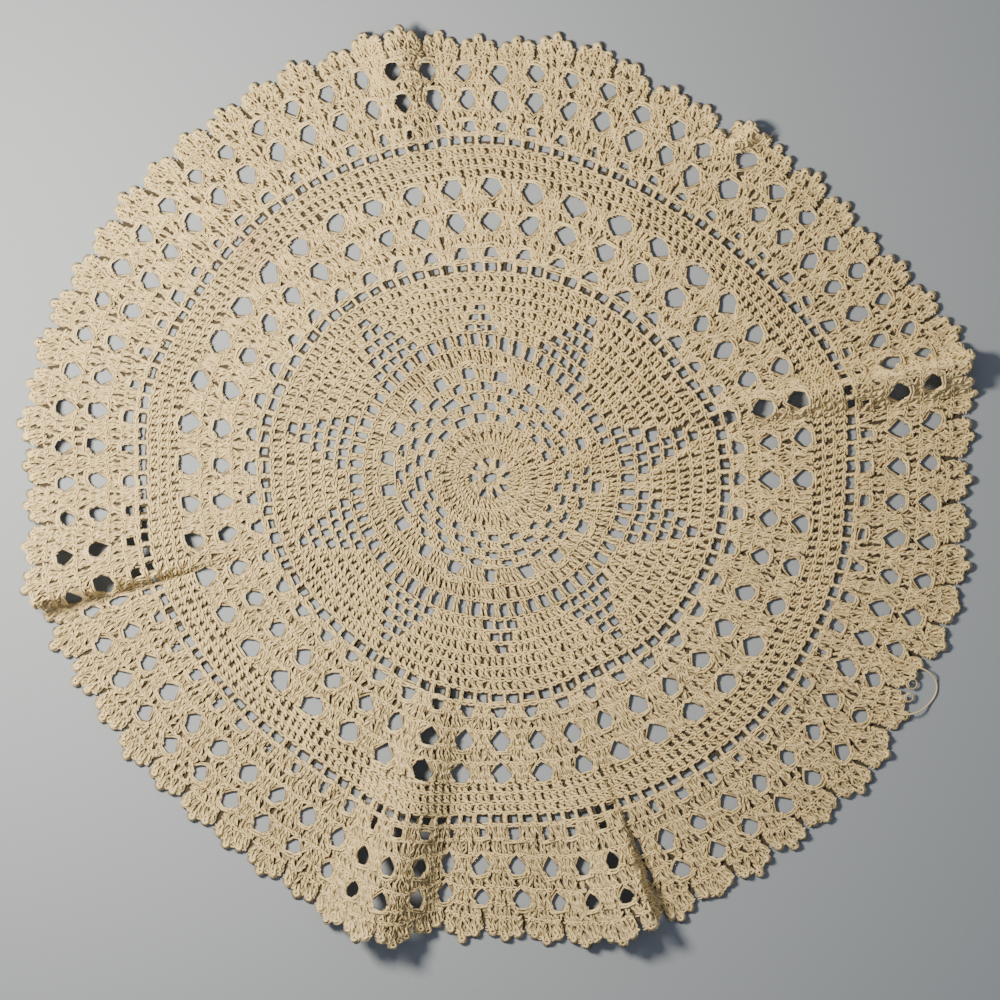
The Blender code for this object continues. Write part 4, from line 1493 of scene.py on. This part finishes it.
class CottonSettings(bpy.types.PropertyGroup):
    """Thread sizes and colours: the cotton's own tint and stain, and lit, shaded and deep copies of its
    colour that paint light and shade on it.
    """
    yarn: FloatProperty(name="Yarn", description="Thickness of the stitches' thread",
                        default=0.00092, min=0.0002, max=0.002, precision=5, unit="LENGTH")
    picot: FloatProperty(name="Picot Yarn", description="Thickness of the picots' doubled thread",
                         default=0.00115, min=0.0004, max=0.003, precision=5, unit="LENGTH")
    loop: FloatProperty(name="Loose Thread", description="Thickness of the snagged loop",
                        default=0.0006, min=0.0003, max=0.002, precision=5, unit="LENGTH")
    # Painted light and shade: the thread colour is the cotton lit from above, the shaded thread is painted
    # shade on the threads' lower sides, and the deep colour is painted shade down between the stitches.
    thread: colour_property("Thread", "Cotton where it catches the light", (0.93, 0.745, 0.42))
    shade: colour_property("Shaded Thread", "Cotton on the threads' lower sides", (0.37, 0.272, 0.15))
    deep: colour_property("Deep Thread", "Cotton down between the stitches", (0.046, 0.035, 0.022))
    tint: colour_property("Tint", "Yellowed patches of the cotton", (0.84, 0.68, 0.35))
    stain: colour_property("Stain", "The faint old stain", (0.66, 0.40, 0.27))


class StudioSettings(bpy.types.PropertyGroup):
    """Table, lights and lens."""
    floor: colour_property("Table", "Colour of the table", (0.30, 0.345, 0.425))
    key: FloatProperty(name="Key Light", description="Power of the light over the table",
                       default=4.45, min=0.0, max=500.0, unit="POWER")
    sky: FloatProperty(name="Soft Fill", description="Strength of the light from all round",
                       default=0.27, min=0.0, max=5.0)
    lens: FloatProperty(name="Lens", description="Focal length of the camera in millimetres",
                        default=120.0, min=20.0, max=300.0)


# ---------------------------------------------------------------- operators

# The stage, in metres.
VIEW_WIDTH = 0.35
VIEW_MIDDLE = (0.0035, -0.0077)
NEAREST_SEEN = 0.02
TABLE_REACH = 2.5
KEY_FROM = (-0.275, 0.08, 0.325)
KEY_SIZE = 0.13
KEY_COLOUR = (1.0, 0.89, 0.68)
ROOM_COLOUR = (0.93, 0.96, 1.0, 1.0)

# How much finer the thread of the middle and the spiral looks than the yarn.
FINER = 0.84


class DOILY_OT_studio(bpy.types.Operator):
    """Set out the table, the lights and the camera over the doily"""
    bl_idname = "doily.studio"
    bl_label = "Table, Lights and Camera"

    def execute(self, context):
        studio = context.scene.doily_studio
        lens = bpy.data.cameras.new("overhead camera")
        lens.lens = studio.lens
        lens.clip_start = NEAREST_SEEN
        camera = stand("overhead camera", lens)
        camera.location = (*VIEW_MIDDLE, VIEW_WIDTH * studio.lens / lens.sensor_width)
        context.scene.camera = camera

        shape = bmesh.new()
        bmesh.ops.create_grid(shape, x_segments=1, y_segments=1, size=TABLE_REACH)
        mesh = mesh_from(shape, "table")
        mesh.materials.append(table_top(studio))
        stand("table", mesh)

        light = bpy.data.lights.new("key light", "AREA")
        light.shape = "DISK"
        light.size = KEY_SIZE
        light.energy = studio.key
        light.color = KEY_COLOUR
        key = stand("key light", light)
        key.location = KEY_FROM
        key.rotation_euler = (-Vector(KEY_FROM)).to_track_quat("-Z", "Y").to_euler()
        key.visible_camera = False

        world = bpy.data.worlds.new("soft room")
        world.use_nodes = True
        air = world.node_tree.nodes["Background"]
        air.inputs["Color"].default_value = ROOM_COLOUR
        air.inputs["Strength"].default_value = studio.sky
        context.scene.world = world
        return {"FINISHED"}


def smooth_route(route, each):
    """Points along a smooth curve through a route's own points."""
    ends = [2 * route[0] - route[1]] + route + [2 * route[-1] - route[-2]]
    return [smooth_between(*four, step / each) for four in zip(ends, ends[1:], ends[2:], ends[3:])
            for step in range(each)] + [route[-1]]


class DOILY_OT_snagged_loop(bpy.types.Operator):
    """Lay the loop of thread that was pulled out past the edge"""
    bl_idname = "doily.snagged_loop"
    bl_label = "Snagged Loop"

    def execute(self, context):
        settings = context.scene.doily_cotton
        points = smooth_route([Vector(place) for place in LOOP_ROUTE], LOOP_POINTS_EACH)
        curve = bpy.data.curves.new("snagged_loop", "CURVE")
        curve.dimensions = "3D"
        curve.bevel_depth = 0.5 * settings.loop
        curve.bevel_resolution = 2
        curve.use_fill_caps = True
        spline = curve.splines.new("POLY")
        spline.points.add(len(points) - 1)
        for place, point in zip(spline.points, points):
            place.co = (*(point * MM), 1.0)
        loop = finish_piece("snagged_loop", curve, cotton(PULLED, settings))
        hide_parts("loose_thread")
        return {"FINISHED"}


class DOILY_OT_middle(bpy.types.Operator):
    """Work the ring and the plain rounds in the middle"""
    bl_idname = "doily.middle"
    bl_label = "Middle Rounds"

    def execute(self, context):
        strands = middle_strands(np.random.default_rng(1))
        cotton_piece("middle_rounds", [(strands, FINER * context.scene.doily_cotton.yarn)], 1)
        return {"FINISHED"}


class DOILY_OT_spiral(bpy.types.Operator):
    """Work the openwork rounds that spiral out round the middle"""
    bl_idname = "doily.spiral"
    bl_label = "Spiral Rounds"

    def execute(self, context):
        strands = spiral_strands(np.random.default_rng(2))
        cotton_piece("spiral_rounds", [(strands, FINER * context.scene.doily_cotton.yarn)], 2)
        return {"FINISHED"}


class DOILY_OT_petals(bpy.types.Operator):
    """Work the ten petals, the stepped mesh between them and the inner net"""
    bl_idname = "doily.petals"
    bl_label = "Petals and Inner Net"

    def execute(self, context):
        uneven = np.random.default_rng(3)
        strands = petal_strands(uneven) + net_strands(INNER, net_gaps()[0], NET_HALF, uneven)
        cotton_piece("petals", [(strands, context.scene.doily_cotton.yarn)], 3)
        return {"FINISHED"}


class DOILY_OT_inner_shells(bpy.types.Operator):
    """Work the five inner rounds of shells"""
    bl_idname = "doily.inner_shells"
    bl_label = "Inner Shells"

    def execute(self, context):
        inner = cloth_gaps()[1:1 + len(INNER_GAP_ROWS)]
        cut = {2 * number: gaps for number, gaps in enumerate(inner)}
        strands = shell_rounds(INNER, INNER_ROWS, cut, np.random.default_rng(4), random.Random(4))
        cotton_piece("inner_shells", [(strands, context.scene.doily_cotton.yarn)], 4)
        return {"FINISHED"}


class DOILY_OT_band(bpy.types.Operator):
    """Work the solid band and the slotted net outside it"""
    bl_idname = "doily.band"
    bl_label = "Band and Outer Net"

    def execute(self, context):
        uneven = np.random.default_rng(5)
        strands = []
        for number, ((foot, count), (head, _)) in enumerate(zip(BAND_ROUNDS, BAND_ROUNDS[1:])):
            turn_of = stitch_turns(inner_reach(0.5 * (foot + head)), OUTER.swing)
            tall, tops = plain_round(count, inner_reach(foot), inner_reach(head), turn_of, BAND_MAKE,
                                     BAND_PIT, uneven, BAND_SHIFT * number)
            strands += tall + tops
        strands += net_strands(OUTER, net_gaps()[1], SLOT_HALF, uneven)
        cotton_piece("band", [(strands, context.scene.doily_cotton.yarn)], 5)
        return {"FINISHED"}


class DOILY_OT_outer_shells(bpy.types.Operator):
    """Work the outer rounds of shells, in two pieces"""
    bl_idname = "doily.outer_shells"
    bl_label = "Outer Shells"

    def execute(self, context):
        outer = [net_gaps()[2], *cloth_gaps()[1 + len(INNER_GAP_ROWS):]]
        cut = {2 * number: gaps for number, gaps in enumerate(outer)}
        for name, first, last, seed in (("outer_shells", 0, EDGE_ROW, 6),
                                        ("edge_shells", EDGE_ROW, len(OUTER_ROWS), 7)):
            chosen = {number - first: gaps for number, gaps in cut.items()}
            strands = shell_rounds(OUTER, OUTER_ROWS[first:last], chosen,
                                   np.random.default_rng(seed), random.Random(seed))
            cotton_piece(name, [(strands, context.scene.doily_cotton.yarn)], seed)
        return {"FINISHED"}


class DOILY_OT_picots(bpy.types.Operator):
    """Work the three picots of each scallop and the slack curls"""
    bl_idname = "doily.picots"
    bl_label = "Picots"

    def execute(self, context):
        settings = context.scene.doily_cotton
        rings, ties = picot_strands(np.random.default_rng(8))
        cotton_piece("picots", [(rings, settings.picot), (ties, settings.yarn),
                                ([slack_curls()], settings.loop)], 8)
        return {"FINISHED"}


class DOILY_OT_ground(bpy.types.Operator):
    """Lay the thin openwork ground of painted shade that the stitches close over"""
    bl_idname = "doily.ground"
    bl_label = "Ground"

    def execute(self, context):
        settings = context.scene.doily_cotton
        points, faces, area = flat_ground()
        shape = bmesh.new()
        used = sorted({corner for face in faces for corner in face})
        places = np.array([points[index] for index in used])
        radius = np.hypot(*places.T)
        turn = np.degrees(np.arctan2(places[:, 1], places[:, 0]))
        placed = lay(np.column_stack([radius, turn, np.full(len(used), MIDDLE_LIFT)]))
        corners = {index: shape.verts.new(place) for index, place in zip(used, placed)}
        for face in faces:
            shape.faces.new([corners[index] for index in face])
        bmesh.ops.recalc_face_normals(shape, faces=shape.faces)
        if sum(face.normal.z for face in shape.faces) < 0.0:
            bmesh.ops.reverse_faces(shape, faces=shape.faces)
        mesh = mesh_from(shape, "ground")
        x, y = np.array([vertex.co[:2] for vertex in mesh.vertices]).T / MM
        # Painted shade: the low lift paints the sheet in the deep shade colour, except on steep slopes.
        paint_shade_by_lift(mesh, GROUND_LIFT + steep_lift(x, y))
        ground = doily_piece("ground", mesh, cotton(SHADE_SHEET, settings))
        thick = ground.modifiers.new("thickness", "SOLIDIFY")
        thick.thickness = GROUND_THICK * MM
        thick.offset = 0.0
        return {"FINISHED"}


class DOILY_PT_sidebar(bpy.types.Panel):
    """Sizes, colours and steps of the doily"""
    bl_label = "Crocheted Doily"
    bl_idname = "DOILY_PT_sidebar"
    bl_space_type = "VIEW_3D"
    bl_region_type = "UI"
    bl_category = "Doily"

    def draw(self, context):
        layout = self.layout
        for settings in (context.scene.doily_cotton, context.scene.doily_studio):
            box = layout.box()
            for name in settings.__annotations__:
                box.prop(settings, name)
        for operator in OPERATORS:
            layout.operator(operator.bl_idname)


OPERATORS = (DOILY_OT_studio, DOILY_OT_snagged_loop, DOILY_OT_middle, DOILY_OT_spiral,
             DOILY_OT_petals, DOILY_OT_inner_shells, DOILY_OT_band, DOILY_OT_outer_shells,
             DOILY_OT_picots, DOILY_OT_ground)
CLASSES = (CottonSettings, StudioSettings, *OPERATORS, DOILY_PT_sidebar)


def register():
    """Add the doily's settings, steps and panel."""
    for item in CLASSES:
        bpy.utils.register_class(item)
    bpy.types.Scene.doily_cotton = PointerProperty(type=CottonSettings)
    bpy.types.Scene.doily_studio = PointerProperty(type=StudioSettings)


def unregister():
    """Take them away again."""
    del bpy.types.Scene.doily_studio
    del bpy.types.Scene.doily_cotton
    for item in reversed(CLASSES):
        bpy.utils.unregister_class(item)


def main():
    """Work the whole doily, one step after another."""
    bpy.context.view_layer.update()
    register()
    bpy.ops.doily.studio()
    bpy.ops.doily.snagged_loop()
    bpy.ops.doily.middle()
    bpy.ops.doily.spiral()
    bpy.ops.doily.petals()
    bpy.ops.doily.inner_shells()
    bpy.ops.doily.band()
    bpy.ops.doily.outer_shells()
    bpy.ops.doily.picots()
    bpy.ops.doily.ground()


if __name__ == "__main__":
    main()
